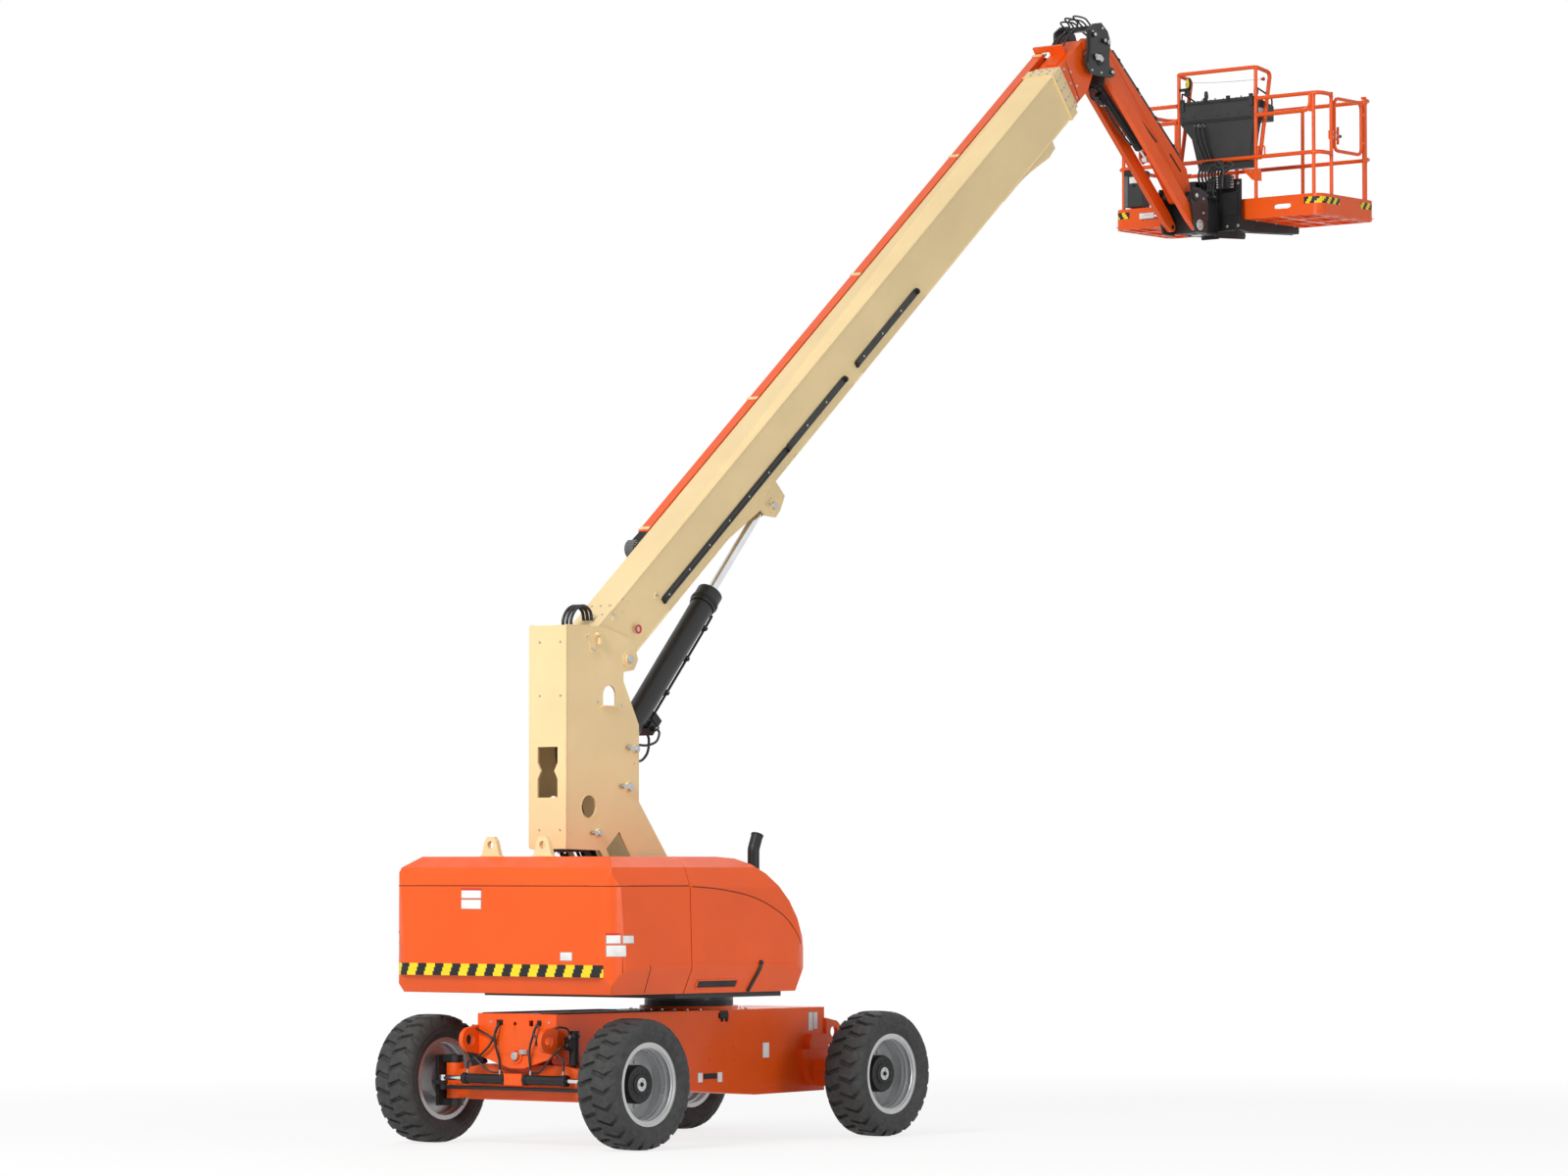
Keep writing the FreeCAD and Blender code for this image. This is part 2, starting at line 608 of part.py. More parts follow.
def exhaust_stack():
    """Tail pipe through the right hood's roof, bent back at its mouth."""
    foot = 2060.0
    pipe = bent_tube([(250, -800, foot), (250, -800, 2330), (300, -800, 2450)], 48, 90)
    return pipe.cut(mirror_y(hood_form(0)))


def turntable():
    NODES["turntable_base"] = turntable_base()
    NODES["counterweight"] = tail_form()
    NODES["lifting_lugs"] = lifting_lugs()
    left = hood()
    NODES["hood_left"] = left
    NODES["hood_right"] = mirror_y(left)
    NODES["engine"] = engine()
    NODES["exhaust_stack"] = exhaust_stack()


# ---- upright -------------------------------------------------------------------------------
def mast_side():
    """Left side plate of the upright, with its holes."""
    outline = [
        (MAST_REAR_X, MAST_TOP), (MAST_REAR_X, MAST_SHELF), (-930, MAST_SHELF - 10),
        (-860, HOOD_TOP - 30), (-700, 2000),
        (-700, DECK_Z), (80, DECK_Z), (80, 2060), (-110, 2290), (-450, 2710), (-450, 3320),
        (-640, 3665), (-640, 3740), (-510, 3760), (-460, 3845), (-500, 3945), (-560, 4010),
        (-900, MAST_TOP),
    ]
    inner = MAST_HALF - PLATE
    plate = plate_y(outline, inner, MAST_HALF)
    notch = plate_y([(-690, 2470), (-850, 2330), (-620, 2020), (-500, 2200)], inner - 5, MAST_HALF + 5)
    slot = fuse([cylinder((-810, inner - 5, 3550), (0, 1, 0), 80, PLATE + 10),
                 box(-890, -730, inner - 5, MAST_HALF + 5, 3470, 3550)])
    hole = cylinder((-1060, inner - 5, 2665), (0, 1, 0), 90, PLATE + 10)
    return cut(plate, [notch, slot, hole])


def hourglass(x0, x1):
    """Opening in the rear plate: two wide ends and a waist."""
    half = 105.0
    outline = [(-half, 2735), (half, 2735), (half, 2880), (half - 35, 2945), (half, 3010),
               (half, 3135), (-half, 3135), (-half, 3010), (-half + 35, 2945), (-half, 2880)]
    return plate_x(outline, x0, x1)


def mast():
    inner = MAST_HALF - PLATE
    side = mast_side()
    rear = box(MAST_REAR_X, MAST_REAR_X + PLATE, -inner, inner, MAST_SHELF, MAST_TOP)
    rear = rear.cut(hourglass(MAST_REAR_X - 5, MAST_REAR_X + PLATE + 5))
    roof = box(MAST_REAR_X, -1075, -inner, inner, MAST_TOP - 12, MAST_TOP)
    foot = box(-700, 80, -inner, inner, DECK_Z, DECK_Z + PLATE)
    pivot = pin_y(BOOM_PIVOT, 42, -MAST_HALF - 24, MAST_HALF + 24)
    lift_pin = pin_y(LIFT_BASE, 36, -MAST_HALF - 24, MAST_HALF + 24)
    stubs = []
    for place, radius in (((-580, 2825), 42), ((-950, 2456), 34)):
        stubs += both_sides(pin_y(place, radius, MAST_HALF, MAST_HALF + 22))
        stubs.append(pin_y(place, radius - 6, -inner, inner))
    for x in HINGE_X:
        stubs += both_sides(cylinder((x - 20, HINGE_Y, HINGE_Z), (1, 0, 0), HINGE_PIN_R, 92))
        stubs += both_sides(box(x - 20, x - MOVE_GAP, MAST_HALF, HINGE_Y + 10, HINGE_Z - 30, HINGE_Z + 10))
    return fuse([side, mirror_y(side), rear, roof, foot, pivot, lift_pin] + stubs)


# ---- boom ----------------------------------------------------------------------------------
def hollow_beam(along0, along1, half, low, high, wall):
    outer = box(along0, along1, -half, half, low, high)
    inner = box(along0 - 5, along1 + 5, -half + wall, half - wall, low + wall, high - wall)
    return outer.cut(inner)


def mouth_pads(end, half, low, high):
    """Wear ring just inside a section's mouth, a hair clear of the section that slides in it."""
    ring = box(end - 110, end - 10, -half, half, low, high)
    gap = BOOM_GAP - SEAT
    return ring.cut(box(end - 120, end, -half + gap, half - gap, low + gap, high - gap))


def base_boom():
    """Outer section in its own frame, with pivot tube, ram lugs and the rest plate at its mouth."""
    beam = hollow_beam(-100, BASE_LENGTH, BASE_HALF, BASE_LOW, BASE_HIGH, BOOM_WALL)
    pivot_room = cylinder((0, -200, 0), (0, 1, 0), 95, 400)
    reach = MAST_HALF - PLATE - MOVE_GAP
    pivot_tube = cylinder((0, -reach, 0), (0, 1, 0), 95, 2 * reach)
    pin_bore = cylinder((0, -200, 0), (0, 1, 0), 42 + PIN_PLAY, 400)
    slider_room = box(SLIDE_START - 40, BASE_LENGTH, -BASE_HALF + BOOM_WALL, BASE_HALF - BOOM_WALL,
                      BASE_LOW + BOOM_WALL, BASE_HIGH - BOOM_WALL)
    end = BASE_LENGTH
    belly = plate_y([(end - 1400, BASE_LOW), (end - 1010, BASE_LOW - 12), (end - 580, BASE_LOW - 85),
                     (end - 470, BASE_LOW - 75), (end - 460, BASE_LOW)], -BASE_HALF, BASE_HALF)
    collar_room = box(end - 240, end, -BASE_HALF, BASE_HALF, BASE_LOW, BASE_HIGH)
    collar = box(end - 100, end, -BASE_HALF - 12, BASE_HALF + 12, BASE_LOW - 12, BASE_HIGH + 12)
    collar = collar.cut(collar_room)
    shape = fuse([beam.cut(pivot_room), pivot_tube, belly, collar]).cut(pin_bore).cut(slider_room)
    pads = mouth_pads(BASE_LENGTH, BASE_HALF - BOOM_WALL, BASE_LOW + BOOM_WALL, BASE_HIGH - BOOM_WALL)
    shape = fuse([shape, pads])
    shape = in_boom_frame(shape)
    lug = lift_lug()
    return fuse([shape, lug, mirror_y(lug)])


def lift_lug():
    """Left lug plate under the boom that holds the lift ram's rod pin."""
    x, z = LIFT_EYE
    root_a = boom_point(1500, BASE_LOW)
    root_b = boom_point(2480, BASE_LOW)
    outline = [root_a, (x - 150, z - 40), (x - 90, z - 85), (x + 40, z - 95), (x + 100, z - 35),
               (x + 160, z + 90), root_b]
    plate = plate_y(outline, 96, 120)
    pin = pin_y(LIFT_EYE, 38, 62, 138)
    return fuse([plate, pin])


SLIDE_START = 250.0
MID_HALF = BASE_HALF - BOOM_WALL - BOOM_GAP
MID_LOW = BASE_LOW + BOOM_WALL + BOOM_GAP
MID_HIGH = BASE_HIGH - BOOM_WALL - BOOM_GAP
FLY_HALF = MID_HALF - BOOM_WALL - BOOM_GAP
FLY_LOW = MID_LOW + BOOM_WALL + BOOM_GAP
FLY_HIGH = MID_HIGH - BOOM_WALL - BOOM_GAP
MID_END = BASE_LENGTH + 70.0
NECK_START = LEVEL_ALONG - 250.0
NOSE_R = 80.0
TRACK_LOW_Y = BASE_HALF
TRACK_HIGH_Y = BASE_HALF + 110.0
TRACK_END = BASE_LENGTH + 290.0


def mid_boom():
    beam = hollow_beam(SLIDE_START, MID_END, MID_HALF, MID_LOW, MID_HIGH, BOOM_WALL)
    pads = mouth_pads(MID_END, MID_HALF - BOOM_WALL, MID_LOW + BOOM_WALL, MID_HIGH - BOOM_WALL)
    return in_boom_frame(fuse([beam, pads]))


def fly_boom():
    """Inner section with its closed nose, peaked over the ear that carries the levelling pin."""
    beam = hollow_beam(SLIDE_START + 80, NECK_START, FLY_HALF, FLY_LOW, FLY_HIGH, BOOM_WALL)
    block = plate_y([(NECK_START - 160, FLY_LOW), (NECK_START - 20, FLY_LOW),
                     (LEVEL_ALONG - 60, LEVEL_ACROSS - 72), (LEVEL_ALONG, LEVEL_ACROSS),
                     (LEVEL_ALONG - 60, LEVEL_ACROSS + 72), (LEVEL_ALONG - 150, LEVEL_ACROSS + 112),
                     (LEVEL_ALONG - 65, LEVEL_ACROSS + 152), (LEVEL_ALONG - 30, FLY_HIGH),
                     (NECK_START - 160, FLY_HIGH)], -FLY_HALF, FLY_HALF)
    ear = cylinder((LEVEL_ALONG, -FLY_HALF, LEVEL_ACROSS), (0, 1, 0), NOSE_R, 2 * FLY_HALF)
    bore = cylinder((LEVEL_ALONG, -200, LEVEL_ACROSS), (0, 1, 0), 31 + PIN_PLAY, 400)
    foot = box(TRACK_END - 160, TRACK_END + MOVE_GAP + 10, -60, 60, FLY_HIGH, FLY_HIGH + 12)
    arm = box(TRACK_END + MOVE_GAP + 5, TRACK_END + MOVE_GAP + 27, -60, TRACK_HIGH_Y, FLY_HIGH, 470)
    arm = arm.cut(box(TRACK_END, TRACK_END + 50, 100, KNUCKLE_HALF + 10, FLY_HIGH - 5, 415))
    leg = box(TRACK_END + MOVE_GAP + 5, TRACK_END + MOVE_GAP + 27, KNUCKLE_HALF + 10, TRACK_HIGH_Y,
              290, 470)
    return in_boom_frame(fuse([beam, block, ear, foot, arm, leg]).cut(bore))


def boom_side_strips():
    """Dark guide bars low on both sides of the outer section."""
    strips = []
    for a, b in ((690, 2720), (2760, 3720), (3950, 5000)):
        bar = box(a, b, BASE_HALF, BASE_HALF + 14, BASE_LOW + 85, BASE_LOW + 145)
        strips += both_sides(bar)
    return in_boom_frame(Part.makeCompound(strips))


def track_tube():
    """Square tube on the boom's left side that guides the cable chain."""
    run = box(1180, TRACK_END, TRACK_LOW_Y + 12, TRACK_HIGH_Y, 300, 410)
    room = box(1170, TRACK_END + 10, TRACK_LOW_Y + 20, TRACK_HIGH_Y - 8, 308, 402)
    seats = []
    for k in range(4):
        along = 1300 + k * (BASE_LENGTH - 1540) / 3
        seats.append(box(along, along + 60, TRACK_LOW_Y, TRACK_LOW_Y + 12, 320, 390))
    return in_boom_frame(fuse([run.cut(room)] + seats))


def cable_chain():
    """Loop of chain links coming out of the tube's lower end and back to the boom's side."""
    links = []
    loop_r = 62.0
    middle = 1010.0
    level = 355.0
    for k in range(9):
        a = math.radians(90 + 180.0 * k / 8)
        x = middle + loop_r * math.cos(a)
        z = level + loop_r * math.sin(a)
        link = box(-22, 22, TRACK_LOW_Y + 14, TRACK_HIGH_Y - 4, -16, 16)
        link.rotate(V(0, 0, 0), V(0, 1, 0), -math.degrees(a) + 90)
        link.translate(V(x, 0, z))
        links.append(link)
    upper = box(middle, 1178, TRACK_LOW_Y + 14, TRACK_HIGH_Y - 4, level + loop_r - 44, level + loop_r - 16)
    lower = box(middle, 1178, TRACK_LOW_Y + 14, TRACK_HIGH_Y - 4, level - loop_r - 14, level - loop_r + 14)
    holder = box(1090, 1178, TRACK_LOW_Y, TRACK_LOW_Y + 14, level - loop_r - 14, level + 20)
    return in_boom_frame(fuse(links + [upper, lower, holder]))


# ---- lift ram ------------------------------------------------------------------------------
LIFT_BARREL_R = 98.0
LIFT_COLLAR_R = 110.0
LIFT_EYE_R = 50.0
LIFT_BARREL_LENGTH = 1740.0
LIFT_ROD_R = 40.0


def lift_barrel():
    base_eye = cylinder((0, -120, 0), (0, 1, 0), 85, 240)
    barrel = cylinder((60, 0, 0), (1, 0, 0), LIFT_BARREL_R, LIFT_BARREL_LENGTH - 60)
    collar = cylinder((LIFT_BARREL_LENGTH - 150, 0, 0), (1, 0, 0), LIFT_COLLAR_R, 150)
    valve = box(330, 480, -60, 60, -LIFT_BARREL_R - 75, -LIFT_BARREL_R + 30)
    bore = cylinder((200, 0, 0), (1, 0, 0), LIFT_ROD_R + PIN_PLAY, LIFT_BARREL_LENGTH)
    pin_bore = cylinder((0, -200, 0), (0, 1, 0), 36 + PIN_PLAY, 400)
    shape = fuse([base_eye, barrel, collar, valve]).cut(bore).cut(pin_bore)
    return along_pins(shape, LIFT_BASE, LIFT_EYE)


def lift_rod():
    total = pin_distance(LIFT_BASE, LIFT_EYE)
    rod = cylinder((total - 1850, 0, 0), (1, 0, 0), LIFT_ROD_R, 1820)
    eye = cylinder((total, -55, 0), (0, 1, 0), LIFT_EYE_R, 110)
    return along_pins(fuse([rod, eye]), LIFT_BASE, LIFT_EYE)


def boom():
    NODES["mast"] = mast()
    NODES["base_boom"] = base_boom()
    NODES["mid_boom"] = mid_boom()
    NODES["fly_boom"] = fly_boom()
    NODES["boom_side_strips"] = boom_side_strips()
    NODES["track_tube"] = track_tube()
    NODES["cable_chain"] = cable_chain()
    NODES["lift_barrel"] = lift_barrel()
    NODES["lift_rod"] = lift_rod()


# ---- levelling knuckle and jib -------------------------------------------------------------
LINK_INNER = 110.0
LINK_OUTER = 160.0
JIB_HALF = 90.0
LINK_BAR = 60.0
LINK_ROOT_R = 45.0
SIDE_INNER = KNUCKLE_HALF - 20.0


def boom_knuckle():
    """Side plates that stay upright, joined by webs clear of the boom's nose and the jib's root."""
    kx, kz = LEVEL_PIN
    outline = [(kx - 150, kz - 140), (kx - 210, kz - 60), (kx - 180, kz + 60), (kx - 178, kz + 250),
               (kx - 90, kz + 310), (kx + 20, kz + 330), (kx + 120, kz + 262), (kx + 163, kz + 170),
               (kx + 140, kz + 20), (kx + 150, kz - 50), (kx + 220, kz - 62), (kx + 220, kz - 130),
               (kx + 165, kz - 150), (kx - 40, kz - 150)]
    side = plate_y(outline, SIDE_INNER, KNUCKLE_HALF)
    web = box(kx + 90, kx + 106, -SIDE_INNER, SIDE_INNER, kz - 215, kz + 32)
    roof = box(kx - 60, kx + 20, -SIDE_INNER, SIDE_INNER, kz + 262, kz + 284)
    lug_outline = [(kx + 106, kz - 205), (kx + 215, kz - 215), (kx + 225, kz - 120), (kx + 106, kz - 95)]
    lug = plate_y(lug_outline, 50, 68)
    ram_pin = pin_y(JIB_RAM_BASE, 20, -68, 68)
    level_pin = pin_y(LEVEL_PIN, 31, -KNUCKLE_HALF - 14, KNUCKLE_HALF + 14)
    jib_pin = pin_y(JIB_PIN, 26, -KNUCKLE_HALF - 12, KNUCKLE_HALF + 12)
    spacers = both_sides(pin_y(LEVEL_PIN, 50, FLY_HALF + MOVE_GAP, SIDE_INNER))
    spacers += both_sides(pin_y(JIB_PIN, 40, JIB_HALF + MOVE_GAP, SIDE_INNER))
    link_pins = both_sides(pin_y(LINK_PIN, 20, LINK_INNER - 4, KNUCKLE_HALF + 10))
    pieces = both_sides(side) + both_sides(lug) + spacers + link_pins
    return fuse([web, roof, ram_pin, level_pin, jib_pin] + pieces)


def jib_tube():
    """Main jib box with its root, end boss and the lugs for the ram's rod."""
    end = JIB_LENGTH
    outline = [(0, 60), (30, 94), (end - 169, 182), (end - 20, 100), (end + 40, 45), (end + 40, -45),
               (end - 40, -52), (end - 483, -7), (150, -66), (0, -60)]
    beam = plate_y(outline, -JIB_HALF, JIB_HALF)
    room = plate_y([(160, 84), (end - 250, 165), (end - 250, 0), (end - 483, 5), (160, -55)],
                   -JIB_HALF + 8, JIB_HALF - 8)
    root = cylinder((0, -JIB_HALF, 0), (0, 1, 0), 60, 2 * JIB_HALF)
    tip = cylinder((JIB_LENGTH, -JIB_HALF, 0), (0, 1, 0), 60, 2 * JIB_HALF)
    at = JIB_RAM_ALONG
    lug = plate_y([(at - 120, -10), (at - 90, -90), (at - 30, -155), (at + 40, -155), (at + 90, -5)], 34, 50)
    ram_pin = cylinder((JIB_RAM_ALONG, 32, JIB_RAM_ACROSS), (0, 1, 0), 18, 30)
    shape = fuse([beam.cut(room), root, tip] + both_sides(lug) + both_sides(ram_pin))
    root_bore = cylinder((0, -200, 0), (0, 1, 0), 26 + PIN_PLAY, 400)
    tip_bore = cylinder((JIB_LENGTH, -200, 0), (0, 1, 0), 26 + PIN_PLAY, 400)
    return in_jib_frame(cut(shape, [root_bore, tip_bore]))


def jib_cover():
    """Hose cover along the top of the jib."""
    slope = math.atan2(182 - 94, JIB_LENGTH - 199)
    cover = box(0, JIB_LENGTH - 520, -70, 70, 0, 46)
    cover.rotate(V(0, 0, 0), V(0, 1, 0), -math.degrees(slope))
    cover.translate(V(210, 0, 94 + 180 * math.tan(slope)))
    return in_jib_frame(cover)


def jib_links():
    """Two levelling links, one each side, from the knuckle to the end bracket."""
    ax = LINK_OFFSET[0] * math.cos(JIB_RAD) + LINK_OFFSET[1] * math.sin(JIB_RAD)
    az = -LINK_OFFSET[0] * math.sin(JIB_RAD) + LINK_OFFSET[1] * math.cos(JIB_RAD)
    outline = [(ax, az + LINK_ROOT_R), (ax + 150, az + LINK_BAR), (ax + JIB_LENGTH - 110, az + LINK_BAR),
               (ax + JIB_LENGTH, az + LINK_ROOT_R), (ax + JIB_LENGTH, az - LINK_ROOT_R),
               (ax + JIB_LENGTH - 110, az - LINK_BAR), (ax + 150, az - LINK_BAR), (ax, az - LINK_ROOT_R)]
    bar = plate_y(outline, LINK_INNER, LINK_OUTER)
    ends = []
    bores = []
    for along in (ax, ax + JIB_LENGTH):
        ends.append(cylinder((along, LINK_INNER, az), (0, 1, 0), LINK_ROOT_R, LINK_OUTER - LINK_INNER))
        bores.append(cylinder((along, 50, az), (0, 1, 0), 20 + PIN_PLAY, 200))
    return in_jib_frame(Part.makeCompound(both_sides(cut(fuse([bar] + ends), bores))))


JIB_BARREL_R = 40.0
JIB_BARREL_SHORT = 137.0
JIB_ROD_START = 127.0
JIB_ROD_R = 20.0


def jib_barrel():
    length = pin_distance(JIB_RAM_BASE, JIB_RAM_EYE) - JIB_BARREL_SHORT
    eye = cylinder((0, -44, 0), (0, 1, 0), 44, 88)
    barrel = cylinder((30, 0, 0), (1, 0, 0), JIB_BARREL_R, length - 30)
    bore = cylinder((60, 0, 0), (1, 0, 0), JIB_ROD_R + PIN_PLAY, length)
    pin_bore = cylinder((0, -60, 0), (0, 1, 0), 20 + PIN_PLAY, 120)
    shape = fuse([eye, barrel]).cut(bore).cut(pin_bore)
    return along_pins(shape, JIB_RAM_BASE, JIB_RAM_EYE)


def jib_rod():
    total = pin_distance(JIB_RAM_BASE, JIB_RAM_EYE)
    rod = cylinder((JIB_ROD_START, 0, 0), (1, 0, 0), JIB_ROD_R, total - JIB_ROD_START - 30)
    eye = cylinder((total, -26, 0), (0, 1, 0), 38, 52)
    return along_pins(fuse([rod, eye]), JIB_RAM_BASE, JIB_RAM_EYE)


ROTATOR_LOW = PLATFORM_LOW - 110.0
ROTATOR_HIGH = PLATFORM_LOW + 220.0


def jib_bracket():
    """End bracket that stays level, with the housing of the platform rotator."""
    jx, jz = JIB_END
    lx, lz = LINK_END
    outline = [(jx - 70, jz + 20), (jx - 40, jz + 75), (jx + 60, jz + 75), (ROTATOR_X - 110, jz + 40),
               (ROTATOR_X - 110, lz - 70), (lx - 50, lz - 70), (lx - 75, lz), (jx - 75, jz - 60)]
    side = plate_y(outline, SIDE_INNER, KNUCKLE_HALF)
    web = box(ROTATOR_X - 160, ROTATOR_X - 140, -SIDE_INNER, SIDE_INNER, lz - 60, jz + 40)
    rib = box(ROTATOR_X - 140, ROTATOR_X - 60, -60, 60, ROTATOR_LOW + 30, ROTATOR_HIGH - 30)
    housing = cylinder((ROTATOR_X, 0, ROTATOR_LOW), (0, 0, 1), 92, ROTATOR_HIGH - ROTATOR_LOW)
    bore = cylinder((ROTATOR_X, 0, ROTATOR_LOW - 5), (0, 0, 1), 40 + PIN_PLAY, 400)
    jib_pin = pin_y(JIB_END, 26, -KNUCKLE_HALF - 12, KNUCKLE_HALF + 12)
    spacers = both_sides(pin_y(JIB_END, 40, JIB_HALF + MOVE_GAP, SIDE_INNER))
    link_pins = both_sides(pin_y(LINK_END, 20, LINK_INNER - 4, KNUCKLE_HALF + 10))
    pieces = both_sides(side) + spacers + link_pins
    return fuse([web, rib, housing.cut(bore), jib_pin] + pieces)


def jib():
    NODES["boom_knuckle"] = boom_knuckle()
    NODES["jib_tube"] = jib_tube()
    NODES["jib_cover"] = jib_cover()
    NODES["jib_links"] = jib_links()
    NODES["jib_barrel"] = jib_barrel()
    NODES["jib_rod"] = jib_rod()
    NODES["jib_bracket"] = jib_bracket()


# ---- platform ------------------------------------------------------------------------------
PLATFORM_HALF = PLATFORM_LENGTH / 2
TOE_WALL = 12.0
TOE_CORNER = 90.0
POST_R = 17.0
RAIL_INSET = TOE_WALL + RAIL_R + SEAT
HOOP_BEND = 40.0
HOOP_NUDGE = 12.0
GATE_X0 = PLATFORM_NEAR_X + 230.0
GATE_X1 = PLATFORM_NEAR_X + 770.0
HOOP_LEFT = 450.0
HOOP_RIGHT = -430.0
HOOP_TOP = PLATFORM_LOW + 1400.0
CONSOLE_LOW = PLATFORM_LOW + 930.0


def platform_support():
    """Clevis about the rotator, its back plate and two tapered arms under the floor."""
    shaft = cylinder((ROTATOR_X, 0, ROTATOR_LOW - 30), (0, 0, 1), 40, ROTATOR_HIGH - ROTATOR_LOW + 60)
    low = box(ROTATOR_X, ROTATOR_X + 200, -90, 90, ROTATOR_LOW - 30, ROTATOR_LOW - MOVE_GAP)
    high = box(ROTATOR_X, ROTATOR_X + 200, -90, 90, ROTATOR_HIGH + MOVE_GAP, ROTATOR_HIGH + 30)
    discs = []
    for z0 in (ROTATOR_LOW - 30, ROTATOR_HIGH + MOVE_GAP):
        discs.append(cylinder((ROTATOR_X, 0, z0), (0, 0, 1), 90, 25))
    back = box(ROTATOR_X + 200, ROTATOR_X + 225, -90, 90, ROTATOR_LOW - 60, ROTATOR_HIGH + 60)
    near = PLATFORM_NEAR_X
    low_z = PLATFORM_LOW - 100
    wide = box(near - 78, near - 58, -330, 330, low_z, PLATFORM_LOW + 370)
    standoffs = []
    for y in (-230, 230):
        standoffs.append(box(near - 58, near, y - 30, y + 30, PLATFORM_LOW + 70, PLATFORM_LOW + 150))
    arm = plate_y([(near - 70, low_z), (near + 60, low_z - 10), (PLATFORM_FAR_X - 40, low_z + 40),
                   (PLATFORM_FAR_X - 40, PLATFORM_LOW), (near - 70, PLATFORM_LOW)], 270, 330)
    return fuse([shaft, low, high, back, wide] + discs + standoffs + both_sides(arm))


def platform_floor():
    """Floor plate on ribs inside a toe board with rounded corners and hand slots."""
    x0, x1 = PLATFORM_NEAR_X, PLATFORM_FAR_X
    half = PLATFORM_HALF
    tall = PLATFORM_LOW + TOE_HEIGHT

    def corner(e):
        across = abs(abs(e.CenterOfMass.y) - half) < 20
        return across and abs(e.tangentAt(e.FirstParameter).z) > 0.9

    outer = rounded(box(x0, x1, -half, half, PLATFORM_LOW, tall), TOE_CORNER, corner)
    room = box(x0 + TOE_WALL, x1 - TOE_WALL, -half + TOE_WALL, half - TOE_WALL, PLATFORM_LOW - 5, tall + 5)
    inner = rounded(room, TOE_CORNER - TOE_WALL, corner)
    board = outer.cut(inner)
    slots = []
    for y in (-735, 735):
        for x in (x0 - 5, x1 - 15):
            slots.append(box(x, x + 20, y - 95, y + 95, PLATFORM_LOW + 70, PLATFORM_LOW + 118))
    plate = inner.common(box(x0, x1, -half, half, FLOOR_TOP - 6, FLOOR_TOP))
    ribs = []
    for k in range(7):
        y = -half + 90 + k * (2 * half - 180) / 6
        ribs.append(box(x0 + 6, x1 - 6, y - 20, y + 20, PLATFORM_LOW, FLOOR_TOP - 6))
    for x in (x0 + 305, x0 + 610):
        ribs.append(box(x - 20, x + 20, -half + 6, half - 6, PLATFORM_LOW, FLOOR_TOP - 6))
    return fuse([cut(board, slots), plate] + ribs)


def post(x, y, top):
    """Upright a little thinner than the rails, so that it ends inside the rail it carries."""
    return cylinder((x, y, FLOOR_TOP), (0, 0, 1), POST_R, top - FLOOR_TOP)


def platform_rails():
    """Guard rails: posts, rails that stop at the console, their looped ends and the raised hoop."""
    x0 = PLATFORM_NEAR_X + RAIL_INSET
    x1 = PLATFORM_FAR_X - RAIL_INSET
    half = PLATFORM_HALF - RAIL_INSET
    middle = PLATFORM_LOW + 570.0
    second = RAIL_TOP - 155.0
    pieces = [bent_tube([(GATE_X0, -half, middle), (x0, -half, middle), (x0, half, middle),
                         (x1, half, middle), (x1, -half, middle), (GATE_X1, -half, middle)], RAIL_R, 70)]
    pieces.append(bent_tube([(GATE_X0, -half, RAIL_TOP), (x0, -half, RAIL_TOP), (x0, HOOP_RIGHT, RAIL_TOP)],
                            RAIL_R, 70))
    pieces.append(bent_tube([(x0, HOOP_LEFT, RAIL_TOP), (x0, half, RAIL_TOP), (x1, half, RAIL_TOP),
                             (x1, -half, RAIL_TOP), (GATE_X1, -half, RAIL_TOP)], RAIL_R, 70))
    for y in (-half + 60, half - 60):
        pieces.append(post(x0, y, RAIL_TOP))
    for y in (-half + 60, -370, 370, half - 60):
        pieces.append(post(x1, y, RAIL_TOP))
    for x in (GATE_X0, GATE_X1):
        pieces.append(post(x, -half, RAIL_TOP + 20))
    for y_from, y_to in ((HOOP_RIGHT, -half + 95), (HOOP_LEFT, half - 95)):
        pieces.append(bent_tube([(x0, y_from, second), (x0, y_to, second), (x0, y_to, RAIL_TOP)], RAIL_R, 70))
    for y in (HOOP_LEFT - HOOP_NUDGE, HOOP_RIGHT + HOOP_NUDGE):
        pieces.append(post(x0 + HOOP_NUDGE, y, HOOP_TOP))
    hoop = bent_tube([(x0 + 60, HOOP_LEFT, middle), (x0 + 230, HOOP_LEFT, HOOP_TOP - 30),
                      (x0, HOOP_LEFT, HOOP_TOP), (x0, HOOP_RIGHT, HOOP_TOP),
                      (x0 + 230, HOOP_RIGHT, HOOP_TOP - 30), (x0 + 60, HOOP_RIGHT, middle)],
                     RAIL_R, HOOP_BEND)
    pieces.append(hoop)
    for y in (HOOP_LEFT, HOOP_RIGHT):
        pieces.append(cylinder((x0, y, middle), (1, 0, 0), POST_R, 70))
    return fuse(pieces)


